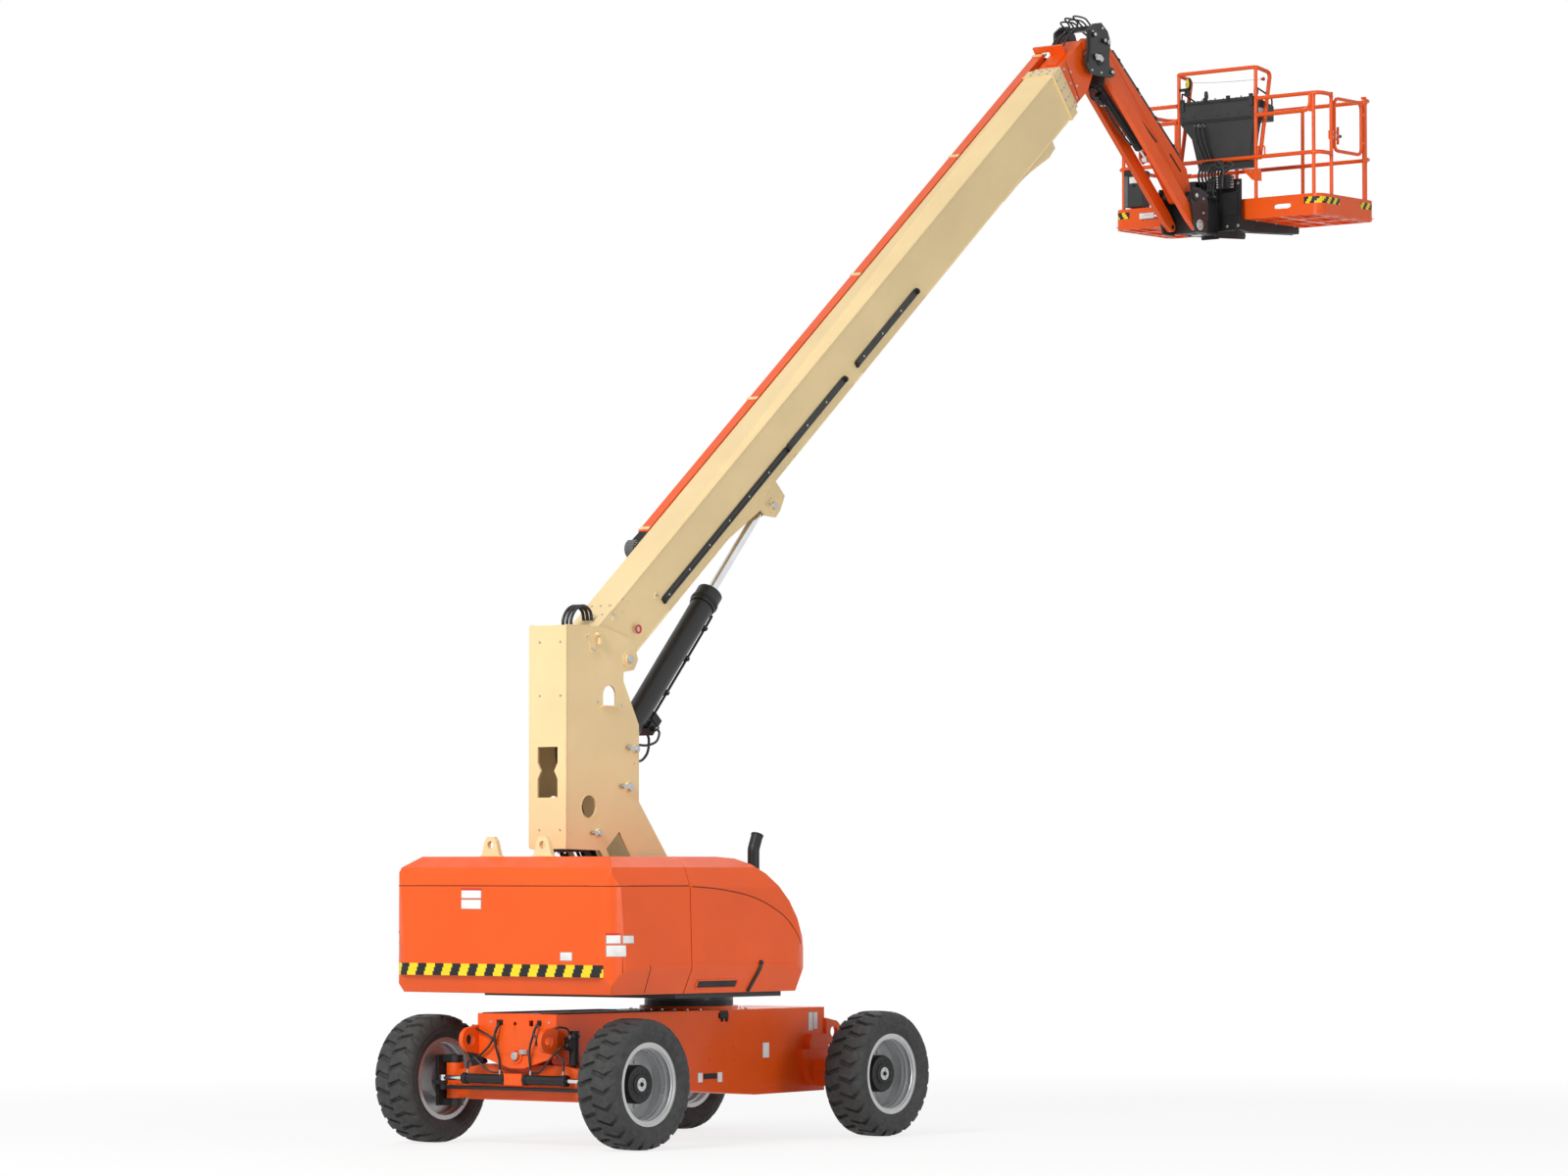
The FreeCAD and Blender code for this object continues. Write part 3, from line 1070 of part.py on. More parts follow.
def platform_gate():
    """Bent-tube gate in the right end, with its hinge sleeve."""
    half = PLATFORM_HALF - RAIL_INSET
    low = PLATFORM_LOW + 600.0
    high = RAIL_TOP - 30.0
    middle = (low + high) / 2
    x_hinge = GATE_X1 - RAIL_R - 26.0
    x_latch = GATE_X0 + RAIL_R + 30.0
    hoop = bent_tube([(x_hinge, -half, middle), (x_hinge, -half, high), (x_latch, -half, high),
                      (x_latch, -half, low), (x_hinge, -half, low), (x_hinge, -half, middle)], 16, 60)
    sleeves = []
    for z in (low + 90, high - 130):
        sleeve = cylinder((GATE_X1, -half, z), (0, 0, 1), POST_R + 9, 40)
        bridge = box(x_hinge - 8, GATE_X1, -half - 9, -half + 9, z + 4, z + 36)
        bore = cylinder((GATE_X1, -half, z - 5), (0, 0, 1), POST_R + PIN_PLAY, 50)
        sleeves.append(fuse([sleeve, bridge]).cut(bore))
    return fuse([hoop] + sleeves)


def platform_console():
    """Control console: slanted box on a tapered back shroud, and the manual box at the left."""
    x0 = PLATFORM_NEAR_X + RAIL_INSET
    left = HOOP_LEFT - HOOP_NUDGE - POST_R - SEAT
    right = HOOP_RIGHT + HOOP_NUDGE + POST_R + SEAT
    foot = CONSOLE_LOW
    head = box(x0 + RAIL_R, x0 + 330, right, left, foot, foot + 210)
    slope = plate_y([(x0, foot + 220), (x0 + 340, foot + 140), (x0 + 340, foot + 260), (x0, foot + 260)],
                    -460, 460)
    head = head.cut(slope)
    shroud_outline = [(left, foot), (300, foot - 140), (220, foot - 440), (-330, foot - 440),
                      (-370, foot - 140), (right, foot)]
    shroud = plate_x(shroud_outline, x0 + RAIL_R, x0 + 130)
    post_y = PLATFORM_HALF - RAIL_INSET - 60 - POST_R - SEAT
    manual = box(x0 - RAIL_R, x0 + 110, post_y - 200, post_y, PLATFORM_LOW + 210, PLATFORM_LOW + 540)
    return Part.makeCompound([fuse([head, shroud]), manual])


def platform():
    NODES["platform_support"] = platform_support()
    NODES["platform_floor"] = platform_floor()
    NODES["platform_rails"] = platform_rails()
    NODES["platform_gate"] = platform_gate()
    NODES["platform_console"] = platform_console()


# ---- build and write -----------------------------------------------------------------------
def write_parts():
    os.makedirs("parts", exist_ok=True)
    for name, shape in NODES.items():
        placed = shape.copy()
        placed.translate(V(-MIDDLE_X, 0, 0))
        placed.exportStep("parts/" + name + ".step")


wheels()
undercarriage()
turntable()
boom()
jib()
platform()
write_parts()
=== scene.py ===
"""Telescopic boom lift: materials, small parts, floor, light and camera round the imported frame.

Lengths inside the helpers are in millimetres.  They are given in one of these frames: MACHINE (X the
way the boom points, Y left, floor at 0, middle of the wheelbase at 0), BOOM (along the boom from its
pivot), JIB (along the jib from its upper pin), LIFT_RAM and JIB_RAM (along each ram from its foot), a
wheel's own, and PLATFORM (from the middle of the platform's near edge).
"""
import itertools
import json
import math

import bmesh
import bpy
from mathutils import Matrix, Vector
from mathutils.bvhtree import BVHTree


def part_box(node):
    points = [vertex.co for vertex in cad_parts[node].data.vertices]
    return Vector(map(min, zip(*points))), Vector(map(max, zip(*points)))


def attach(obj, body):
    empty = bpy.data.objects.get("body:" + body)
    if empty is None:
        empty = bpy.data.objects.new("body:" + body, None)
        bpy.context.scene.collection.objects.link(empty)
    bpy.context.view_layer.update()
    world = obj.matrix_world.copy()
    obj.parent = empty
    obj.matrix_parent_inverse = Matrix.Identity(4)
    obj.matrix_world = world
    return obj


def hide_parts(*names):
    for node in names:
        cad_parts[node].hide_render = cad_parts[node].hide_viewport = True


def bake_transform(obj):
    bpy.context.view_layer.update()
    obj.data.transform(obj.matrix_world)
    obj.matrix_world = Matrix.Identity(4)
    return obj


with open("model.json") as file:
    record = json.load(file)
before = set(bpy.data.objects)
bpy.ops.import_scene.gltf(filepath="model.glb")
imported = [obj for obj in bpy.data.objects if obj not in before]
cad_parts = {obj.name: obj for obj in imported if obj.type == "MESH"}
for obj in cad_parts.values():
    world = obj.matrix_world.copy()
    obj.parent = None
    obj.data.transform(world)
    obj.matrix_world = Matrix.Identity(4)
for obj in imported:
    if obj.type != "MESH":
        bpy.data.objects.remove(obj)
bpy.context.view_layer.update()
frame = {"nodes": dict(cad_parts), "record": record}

NODES = frame["nodes"]


# ---- frames ----------------------------------------------------------------------------------
def centre_x(node):
    low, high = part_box(node)
    return (low.x + high.x) / 2


MILLI = Matrix.Scale(0.001, 4)
MIDDLE = (centre_x("rim_steer_left") + centre_x("rim_drive_left")) / 2
MACHINE = Matrix.Translation((MIDDLE, 0, 0)) @ MILLI
BOOM_ANGLE = math.radians(39.6)
JIB_ANGLE = math.radians(-42.37)
BOOM_PIVOT = (-585.0, 3845.0)
LIFT_BASE = (-500.0, 3130.0)
LIFT_EYE = (1333.0, 5169.0)


def tilted(x, z, angle):
    """Frame at machine (x, z) whose X axis points up from level by an angle."""
    return MACHINE @ Matrix.Translation((x, 0, z)) @ Matrix.Rotation(-angle, 4, "Y")


BOOM = tilted(*BOOM_PIVOT, BOOM_ANGLE)


def machine_xz(frame_matrix, along, across):
    """Machine (x, z) of a point given in a tilted frame."""
    p = MACHINE.inverted() @ (frame_matrix @ Vector((along, 0, across)))
    return (p.x, p.z)


BASE_END = 7940
LEVEL_ALONG = BASE_END + 555
LEVEL_ACROSS = 143
JIB_LENGTH = 1850
LEVEL_PIN = machine_xz(BOOM, LEVEL_ALONG, LEVEL_ACROSS)
JIB_PIN = (LEVEL_PIN[0] + 115, LEVEL_PIN[1] + 165)
JIB = tilted(*JIB_PIN, JIB_ANGLE)
JIB_END = machine_xz(JIB, JIB_LENGTH, 0)
LINK_OFFSET = (60, -263)
LINK_PIN = (JIB_PIN[0] + LINK_OFFSET[0], JIB_PIN[1] + LINK_OFFSET[1])
LINK_END = (JIB_END[0] + LINK_OFFSET[0], JIB_END[1] + LINK_OFFSET[1])
JIB_RAM_BASE = (JIB_PIN[0] + 55, JIB_PIN[1] - 320)
JIB_RAM_EYE = machine_xz(JIB, 1270, -120)


def from_to(base, eye):
    return tilted(*base, math.atan2(eye[1] - base[1], eye[0] - base[0]))


LIFT_RAM = from_to(LIFT_BASE, LIFT_EYE)
JIB_RAM = from_to(JIB_RAM_BASE, JIB_RAM_EYE)


# ---- materials -------------------------------------------------------------------------------
def new_material(name):
    """Empty material with a shader on its output."""
    material = bpy.data.materials.new(name)
    material.use_nodes = True
    tree = material.node_tree
    tree.nodes.clear()
    out = tree.nodes.new("ShaderNodeOutputMaterial")
    shader = tree.nodes.new("ShaderNodeBsdfPrincipled")
    tree.links.new(shader.outputs[0], out.inputs[0])
    return material, tree, shader


def noise(tree, scale, detail=3.0, rough=0.5):
    place = tree.nodes.new("ShaderNodeTexCoord")
    node = tree.nodes.new("ShaderNodeTexNoise")
    node.inputs["Scale"].default_value = scale
    node.inputs["Detail"].default_value = detail
    node.inputs["Roughness"].default_value = rough
    tree.links.new(place.outputs["Object"], node.inputs["Vector"])
    return node.outputs["Fac"]


def spread(tree, value, low, high, start=0.3, stop=0.7):
    node = tree.nodes.new("ShaderNodeMapRange")
    node.inputs["From Min"].default_value = start
    node.inputs["From Max"].default_value = stop
    node.inputs["To Min"].default_value = low
    node.inputs["To Max"].default_value = high
    tree.links.new(value, node.inputs["Value"])
    return node.outputs["Result"]


def mix_colours(tree, factor, first, second):
    node = tree.nodes.new("ShaderNodeMix")
    node.data_type = "RGBA"
    tree.links.new(factor, node.inputs[0])
    for socket, colour in ((node.inputs[6], first), (node.inputs[7], second)):
        if isinstance(colour, tuple):
            socket.default_value = (*colour, 1.0)
        else:
            tree.links.new(colour, socket)
    return node.outputs[2]


def bumped(tree, shader, heights):
    """Chain of bump nodes from (height, strength, distance in metres) entries."""
    normal = None
    for height, strength, distance in heights:
        node = tree.nodes.new("ShaderNodeBump")
        node.inputs["Strength"].default_value = strength
        node.inputs["Distance"].default_value = distance
        tree.links.new(height, node.inputs["Height"])
        if normal is not None:
            tree.links.new(normal, node.inputs["Normal"])
        normal = node.outputs["Normal"]
    tree.links.new(normal, shader.inputs["Normal"])


def scaled(colour, factor):
    return tuple(min(1.0, c * factor) for c in colour)


def uneven(tree, shader, tone, first, second, gloss):
    """Base colour between two by a tone, and roughness from a gloss."""
    tree.links.new(mix_colours(tree, tone, first, second), shader.inputs["Base Color"])
    tree.links.new(gloss, shader.inputs["Roughness"])


def paint(name, colour, rough, metallic=0.0, coat=0.0, grain=260.0):
    """Sprayed paint: faint colour drift, dust film, uneven gloss and orange-peel bump."""
    material, tree, shader = new_material(name)
    drift = spread(tree, noise(tree, 1.7, 4.0), 0.0, 1.0)
    base = mix_colours(tree, drift, scaled(colour, 0.94), scaled(colour, 1.04))
    film = spread(tree, noise(tree, 9.0, 6.0, 0.65), 0.0, 0.10, 0.5, 0.8)
    dusty = tuple(c * 0.85 + 0.02 for c in colour)
    gloss = spread(tree, noise(tree, 6.0, 5.0), rough * 0.82, rough * 1.25)
    uneven(tree, shader, film, base, dusty, gloss)
    bumped(tree, shader, [(noise(tree, grain, 2.0), 0.10, 0.0004), (noise(tree, 2.2, 2.0), 0.12, 0.002)])
    shader.inputs["Metallic"].default_value = metallic
    shader.inputs["Specular IOR Level"].default_value = 0.32
    shader.inputs["Coat Weight"].default_value = coat
    shader.inputs["Coat Roughness"].default_value = 0.12
    return material


def rubber(name, colour):
    """Tyre rubber: fine grain, scuffed patches a little greyer."""
    material, tree, shader = new_material(name)
    scuff = spread(tree, noise(tree, 14.0, 7.0, 0.7), 0.0, 1.0, 0.42, 0.75)
    gloss = spread(tree, noise(tree, 30.0, 4.0), 0.62, 0.88)
    uneven(tree, shader, scuff, colour, scaled(colour, 1.55), gloss)
    bumped(tree, shader, [(noise(tree, 420.0, 3.0), 0.22, 0.0006), (noise(tree, 40.0, 3.0), 0.10, 0.001)])
    shader.inputs["Specular IOR Level"].default_value = 0.35
    return material


def metal(name, colour, rough, drawn=0.0):
    """Bare metal; drawn is the strength of fine turning or rolling marks."""
    material, tree, shader = new_material(name)
    tone = spread(tree, noise(tree, 7.0, 5.0), 0.0, 1.0)
    gloss = spread(tree, noise(tree, 22.0, 5.0), rough * 0.75, rough * 1.3)
    uneven(tree, shader, tone, scaled(colour, 0.88), scaled(colour, 1.06), gloss)
    bumped(tree, shader, [(noise(tree, 380.0, 3.0), 0.06 + drawn, 0.0004)])
    shader.inputs["Metallic"].default_value = 1.0
    return material


def plastic(name, colour, rough, grain=520.0, strength=0.16):
    """Moulded plastic or hose cover with a fine grain."""
    material, tree, shader = new_material(name)
    tone = spread(tree, noise(tree, 5.0, 4.0), 0.0, 1.0)
    gloss = spread(tree, noise(tree, 16.0, 4.0), rough * 0.85, rough * 1.2)
    uneven(tree, shader, tone, scaled(colour, 0.85), scaled(colour, 1.2), gloss)
    bumped(tree, shader, [(noise(tree, grain, 3.0), strength, 0.0005)])
    return material


ORANGE = paint("orange_paint", (0.83, 0.098, 0.006), 0.36, coat=0.10)
CREAM = paint("cream_paint", (0.84, 0.650, 0.350), 0.44, coat=0.05)
CHARCOAL = paint("charcoal_paint", (0.020, 0.021, 0.022), 0.40, coat=0.15)
BLACK = paint("black_paint", (0.012, 0.012, 0.013), 0.46)
SILVER = paint("silver_paint", (0.52, 0.53, 0.54), 0.32, metallic=0.6)
CHROME = metal("chrome_rod", (0.72, 0.73, 0.75), 0.16)
ZINC = metal("zinc_plate", (0.50, 0.50, 0.49), 0.34, drawn=0.05)
TYRE = rubber("tyre_rubber", (0.040, 0.041, 0.041))
HOSE = plastic("hose_cover", (0.013, 0.013, 0.014), 0.42, 700.0, 0.1)
PLASTIC = plastic("black_plastic", (0.017, 0.017, 0.018), 0.5)
GREY = plastic("grey_plastic", (0.10, 0.105, 0.11), 0.5)
CAST = paint("cast_engine", (0.045, 0.047, 0.05), 0.6, metallic=0.3, grain=90.0)
WHITE = plastic("white_label", (0.78, 0.78, 0.76), 0.38, 900.0, 0.03)
YELLOW = paint("yellow_band", (0.83, 0.66, 0.02), 0.36)
RED = plastic("red_cap", (0.55, 0.02, 0.015), 0.35)
# Dark orange-brown for painted shade: the shade in panel grooves and joints, in slots and inside the
# exhaust's mouth.
PAINTED_SHADE = paint("seam_shadow", (0.10, 0.020, 0.006), 0.6)
LABEL_EDGE = plastic("label_edge", (0.30, 0.30, 0.30), 0.4, 900.0, 0.03)

MATERIAL_OF_SLOT = {
    "orange_paint": ORANGE, "cream_paint": CREAM, "charcoal_paint": CHARCOAL, "black_steel": BLACK,
    "silver_rim": SILVER, "bright_steel": CHROME, "zinc_tube": ZINC, "tyre_rubber": TYRE,
    "engine_metal": CAST, "black_plastic": PLASTIC, "grey_plastic": GREY,
}


# ---- camera, light and floor -----------------------------------------------------------------
SENSOR_MM = 36.0
LENS_MM = 131.985
CAMERA_AT = (-35466, -29975, 2175)
CAMERA_TURN = math.radians(38.94)
CAMERA_PITCH = math.radians(2.795)


def make_camera():
    """The view of the photograph: from behind on the right, a long lens, slightly upwards."""
    data = bpy.data.cameras.new("camera")
    data.sensor_width = SENSOR_MM
    data.lens = LENS_MM
    data.clip_end = 400.0
    camera = bpy.data.objects.new("camera", data)
    camera.location = MACHINE @ Vector(CAMERA_AT)
    level = math.cos(CAMERA_PITCH)
    look = Vector((math.cos(CAMERA_TURN) * level, math.sin(CAMERA_TURN) * level, math.sin(CAMERA_PITCH)))
    camera.rotation_mode = "QUATERNION"
    camera.rotation_quaternion = look.to_track_quat("-Z", "Y")
    bpy.context.scene.collection.objects.link(camera)
    bpy.context.scene.camera = camera


def camera_white(tree, shader, share=None):
    """Show part of a pale surface, or all, as plain white to the camera, to gloss and through glass."""
    path = tree.nodes.new("ShaderNodeLightPath")
    seen = path.outputs["Is Camera Ray"]
    for other in ("Is Glossy Ray", "Is Transmission Ray"):
        add = tree.nodes.new("ShaderNodeMath")
        add.operation = "MAXIMUM"
        tree.links.new(seen, add.inputs[0])
        tree.links.new(path.outputs[other], add.inputs[1])
        seen = add.outputs[0]
    part = tree.nodes.new("ShaderNodeMath")
    part.operation = "MULTIPLY"
    part.inputs[1].default_value = 1.0
    if share:
        tree.links.new(share, part.inputs[1])
    tree.links.new(seen, part.inputs[0])
    glow = tree.nodes.new("ShaderNodeEmission")
    glow.inputs["Color"].default_value = (1, 1, 1, 1)
    glow.inputs["Strength"].default_value = 1.0
    blend = tree.nodes.new("ShaderNodeMixShader")
    tree.links.new(part.outputs[0], blend.inputs[0])
    tree.links.new(shader.outputs[0], blend.inputs[1])
    tree.links.new(glow.outputs[0], blend.inputs[2])
    return blend


FLOOR_RADIUS = 170.0
FADE_FROM = 6.0
FADE_TO = 13.0


def make_floor():
    """Round pale floor that keeps the shadows near the machine and fades to white further out."""
    mesh = bpy.data.meshes.new("floor")
    floor = bpy.data.objects.new("floor", mesh)
    shape = bmesh.new()
    bmesh.ops.create_circle(shape, cap_ends=True, segments=96, radius=FLOOR_RADIUS)
    shape.to_mesh(mesh)
    shape.free()
    floor.location = (0, 0, -0.001)
    material, tree, shader = new_material("pale_floor")
    shader.inputs["Base Color"].default_value = (0.86, 0.86, 0.86, 1)
    shader.inputs["Roughness"].default_value = 0.9
    place = tree.nodes.new("ShaderNodeTexCoord")
    away = tree.nodes.new("ShaderNodeVectorMath")
    away.operation = "LENGTH"
    tree.links.new(place.outputs["Object"], away.inputs[0])
    blend = camera_white(tree, shader, spread(tree, away.outputs["Value"], 0.80, 1.0, FADE_FROM, FADE_TO))
    out = next(n for n in tree.nodes if n.type == "OUTPUT_MATERIAL")
    tree.links.new(blend.outputs[0], out.inputs[0])
    mesh.materials.append(material)
    bpy.context.scene.collection.objects.link(floor)


def make_world():
    """Even pale fill that shows as white."""
    world = bpy.data.worlds.new("studio")
    bpy.context.scene.world = world
    world.use_nodes = True
    tree = world.node_tree
    tree.nodes.clear()
    out = tree.nodes.new("ShaderNodeOutputWorld")
    fill = tree.nodes.new("ShaderNodeBackground")
    fill.inputs["Color"].default_value = (0.97, 0.98, 1.0, 1)
    fill.inputs["Strength"].default_value = 0.42
    blend = camera_white(tree, fill)
    tree.links.new(blend.outputs[0], out.inputs[0])


def area_light(name, place, target, size, power, colour=(1, 1, 1)):
    data = bpy.data.lights.new(name, "AREA")
    data.shape = "DISK"
    data.size = size
    data.energy = power
    data.color = colour
    lamp = bpy.data.objects.new(name, data)
    lamp.location = place
    lamp.rotation_mode = "QUATERNION"
    lamp.rotation_quaternion = (Vector(target) - Vector(place)).to_track_quat("-Z", "Y")
    bpy.context.scene.collection.objects.link(lamp)


def make_light():
    """Soft key from behind on the right, low side light and a light from the front."""
    area_light("key", (-25, -3, 17), (0, 0, 3), 9.0, 5000, (1.0, 0.98, 0.95))
    area_light("side", (-4, -26, 4), (-2, 0, 2), 9.0, 1150)
    area_light("back", (20, 14, 16), (0, 0, 5), 10.0, 1300, (0.95, 0.97, 1.0))


scene = bpy.context.scene
scene.view_settings.view_transform = "Standard"
make_camera()
make_floor()
make_world()
make_light()


# ---- mesh building ---------------------------------------------------------------------------
def facing(start, direction):
    """Matrix that takes Z to a direction, at a start point."""
    return Matrix.Translation(start) @ Vector(direction).to_track_quat("Z", "Y").to_matrix().to_4x4()


def around(count, radius=1.0, first=0.0):
    """Points on a circle at even steps, the first one by a share of a step past its start."""
    turns = [2 * math.pi * (k + first) / count for k in range(count)]
    return [(radius * math.cos(a), radius * math.sin(a)) for a in turns]


class Form:
    """One piece in the making: faces added in a chosen frame, each with a material number."""

    def __init__(self, name, body, materials, space=MACHINE):
        self.name = name
        self.body = body
        self.materials = materials
        self.space = space
        self.mesh = bmesh.new()

    def _paint(self, made, number):
        for face in {f for v in made for f in v.link_faces}:
            face.material_index = number

    def _into(self, verts, local=Matrix.Identity(4)):
        bmesh.ops.transform(self.mesh, matrix=self.space @ local, verts=verts)

    def block(self, first, last, number=0, local=Matrix.Identity(4)):
        """Box between two opposite corners."""
        low, high = Vector(map(min, first, last)), Vector(map(max, first, last))
        size = high - low
        made = bmesh.ops.create_cube(self.mesh, size=1.0)["verts"]
        shape = Matrix.Translation((low + high) / 2) @ Matrix.Diagonal((*size, 1.0))
        self._into(made, local @ shape)
        self._paint(made, number)

    def cone(self, start, end, radius, top, number=0, segments=32):
        start, end = Vector(start), Vector(end)
        length = (end - start).length
        made = bmesh.ops.create_cone(self.mesh, cap_ends=True, segments=segments, radius1=radius,
                                     radius2=top, depth=length)["verts"]
        self._into(made, facing((start + end) / 2, end - start))
        self._paint(made, number)

    def rod(self, start, end, radius, number=0, segments=32):
        self.cone(start, end, radius, radius, number, segments)

    def bolt(self, place, direction, radius=9.0, number=0):
        """Washer and hexagon head standing on a surface."""
        place, direction = Vector(place), Vector(direction).normalized()
        self.rod(place, place + direction * radius * 0.25, radius * 1.35, number, 20)
        self.rod(place, place + direction * radius * 0.9, radius, number, 6)

    def bolts(self, xs, ys, zs, direction, radius=9.0, number=0):
        """Bolts at every meeting of the given x, y and z."""
        for x, y, z in itertools.product(xs, ys, zs):
            self.bolt((x, y, z), direction, radius, number)

    def pin_end(self, place, direction, radius, number=0):
        """Round pin end with a raised rim and a centre dimple."""
        place, direction = Vector(place), Vector(direction).normalized()
        self.rod(place, place + direction * 8, radius, number)
        self.cone(place + direction * 8, place + direction * 13, radius * 0.94, radius * 0.82, number)
        self.rod(place + direction * 12, place + direction * 15, radius * 0.28, number, 16)

    def prism(self, outline, start, depth, axis="Y", number=0):
        """A flat outline drawn out along an axis; the outline is in the other two, in order."""
        def place(a, b, c):
            return {"X": (c, a, b), "Y": (a, c, b), "Z": (a, b, c)}[axis]
        near = [self.mesh.verts.new(place(a, b, start)) for a, b in outline]
        far = [self.mesh.verts.new(place(a, b, start + depth)) for a, b in outline]
        faces = [self.mesh.faces.new(near), self.mesh.faces.new(list(reversed(far)))]
        count = len(near)
        for k in range(count):
            m = (k + 1) % count
            faces.append(self.mesh.faces.new((near[k], far[k], far[m], near[m])))
        bmesh.ops.recalc_face_normals(self.mesh, faces=faces)
        self._into(near + far)
        self._paint(near + far, number)

    def _tube(self, rings, closed):
        """Faces from each ring of corners to the next, and round to the first again if closed."""
        faces = []
        for ring, following in zip(rings, rings[1:] + rings[:1] if closed else rings[1:]):
            for m in range(len(ring)):
                n = (m + 1) % len(ring)
                faces.append(self.mesh.faces.new((ring[m], following[m], following[n], ring[n])))
        return faces

    def turned(self, profile, start, direction, number=0, segments=64):
        """Closed ring turned about an axis from (radius, distance along it) corners."""
        rings = []
        for u, v in around(segments):
            rings.append([self.mesh.verts.new((r * u, r * v, h)) for r, h in profile])
        bmesh.ops.recalc_face_normals(self.mesh, faces=self._tube(rings, True))
        made = [v for ring in rings for v in ring]
        self._into(made, facing(Vector(start), direction))
        self._paint(made, number)

    def collar(self, inner, outer, height, start, direction, number=0, segments=64):
        """Plain ring that stands on a surface."""
        profile = [(inner, 0), (outer, 0), (outer, height), (inner, height)]
        self.turned(profile, start, direction, number, segments)

    def sheet(self, grid, number):
        """Faces over a grid of places; number gives the material of a cell."""
        grid = [[self.mesh.verts.new(place) for place in column] for column in grid]
        self._into([v for column in grid for v in column])
        for k, (left, right) in enumerate(zip(grid, grid[1:])):
            for r in range(len(left) - 1):
                face = self.mesh.faces.new((left[r], right[r], right[r + 1], left[r + 1]))
                face.material_index = number(k, r)

    def pipe(self, points, radius, number=0, segments=12):
        """Tube that follows a smooth curve through points."""
        path = smooth_path([Vector(p) for p in points])
        rings = []
        normal = (path[1] - path[0]).orthogonal().normalized()
        for k, point in enumerate(path):
            ahead = path[min(k + 1, len(path) - 1)] - path[max(k - 1, 0)]
            ahead.normalize()
            normal = (normal - ahead * normal.dot(ahead)).normalized()
            side = ahead.cross(normal)
            rings.append([self.mesh.verts.new(point + (normal * u + side * v) * radius)
                          for u, v in around(segments)])
        faces = [self.mesh.faces.new(rings[0]), self.mesh.faces.new(list(reversed(rings[-1])))]
        faces += self._tube(rings, False)
        bmesh.ops.recalc_face_normals(self.mesh, faces=faces)
        made = [v for ring in rings for v in ring]
        self._into(made)
        self._paint(made, number)

    def done(self, bevel=1.5, smooth_under=38.0):
        """Make the object, soften its edges and let it ride on its body."""
        mesh = bpy.data.meshes.new(self.name)
        for edge in self.mesh.edges:
            if len(edge.link_faces) == 2:
                edge.smooth = edge.calc_face_angle() < math.radians(smooth_under)
        for face in self.mesh.faces:
            face.smooth = True
        self.mesh.to_mesh(mesh)
        self.mesh.free()
        piece = bpy.data.objects.new(self.name, mesh)
        for material in self.materials:
            mesh.materials.append(material)
        bpy.context.scene.collection.objects.link(piece)
        if bevel:
            soften(piece, bevel)
        if self.body:
            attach(piece, self.body)
        return piece


def smooth_path(points, steps=7):
    """Catmull-Rom curve through the points."""
    if len(points) == 2:
        return points
    ends = [points[0] * 2 - points[1]] + points + [points[-1] * 2 - points[-2]]
    path = []
    for a, b, c, d in zip(ends, ends[1:], ends[2:], ends[3:]):
        for k in range(steps):
            t = k / steps
            path.append(0.5 * (2 * b + (c - a) * t + (2 * a - 5 * b + 4 * c - d) * t * t
                               + (3 * b - a - 3 * c + d) * t ** 3))
    return path + [points[-1]]


def soften(piece, width, weld=False):
    """Round an object's edges by a width in millimetres."""
    if weld:
        merge = piece.modifiers.new("weld", "WELD")
        merge.merge_threshold = 0.00002
    edge = piece.modifiers.new("soften", "BEVEL")
    edge.width = width * 0.001
    edge.segments = 2
    edge.limit_method = "ANGLE"
    edge.angle_limit = math.radians(32)
    edge.harden_normals = False


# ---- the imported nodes' own finish ------------------------------------------------------------
SOFT_EDGE = {
    "counterweight": 6.0, "hood_left": 5.0, "hood_right": 5.0, "chassis_frame": 3.0, "mast": 3.0,
    "base_boom": 3.0, "drive_axle": 3.0, "steer_axle": 3.0,
}


def finish_nodes():
    """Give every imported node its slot's material, and soft edges to the large ones."""
    slot_of = {s["node"]: s["material_slot"] for s in frame["record"]["subparts"]}
    for name, node in NODES.items():
        node.data.materials.clear()
        node.data.materials.append(MATERIAL_OF_SLOT[slot_of[name]])
        for polygon in node.data.polygons:
            polygon.material_index = 0
        if name in SOFT_EDGE:
            soften(node, SOFT_EDGE[name], weld=True)


finish_nodes()


# ---- wheels ----------------------------------------------------------------------------------
AXLE_X = 1525
TYRE_Y = 1058
TYRE_R = 510
RIM_R = 291.5


def wheel_space(x, side):
    """Frame at a wheel's middle whose +Y points outwards."""
    turn = Matrix.Identity(4) if side > 0 else Matrix.Rotation(math.pi, 4, "Z")
    return MACHINE @ Matrix.Translation((x, side * TYRE_Y, TYRE_R)) @ turn


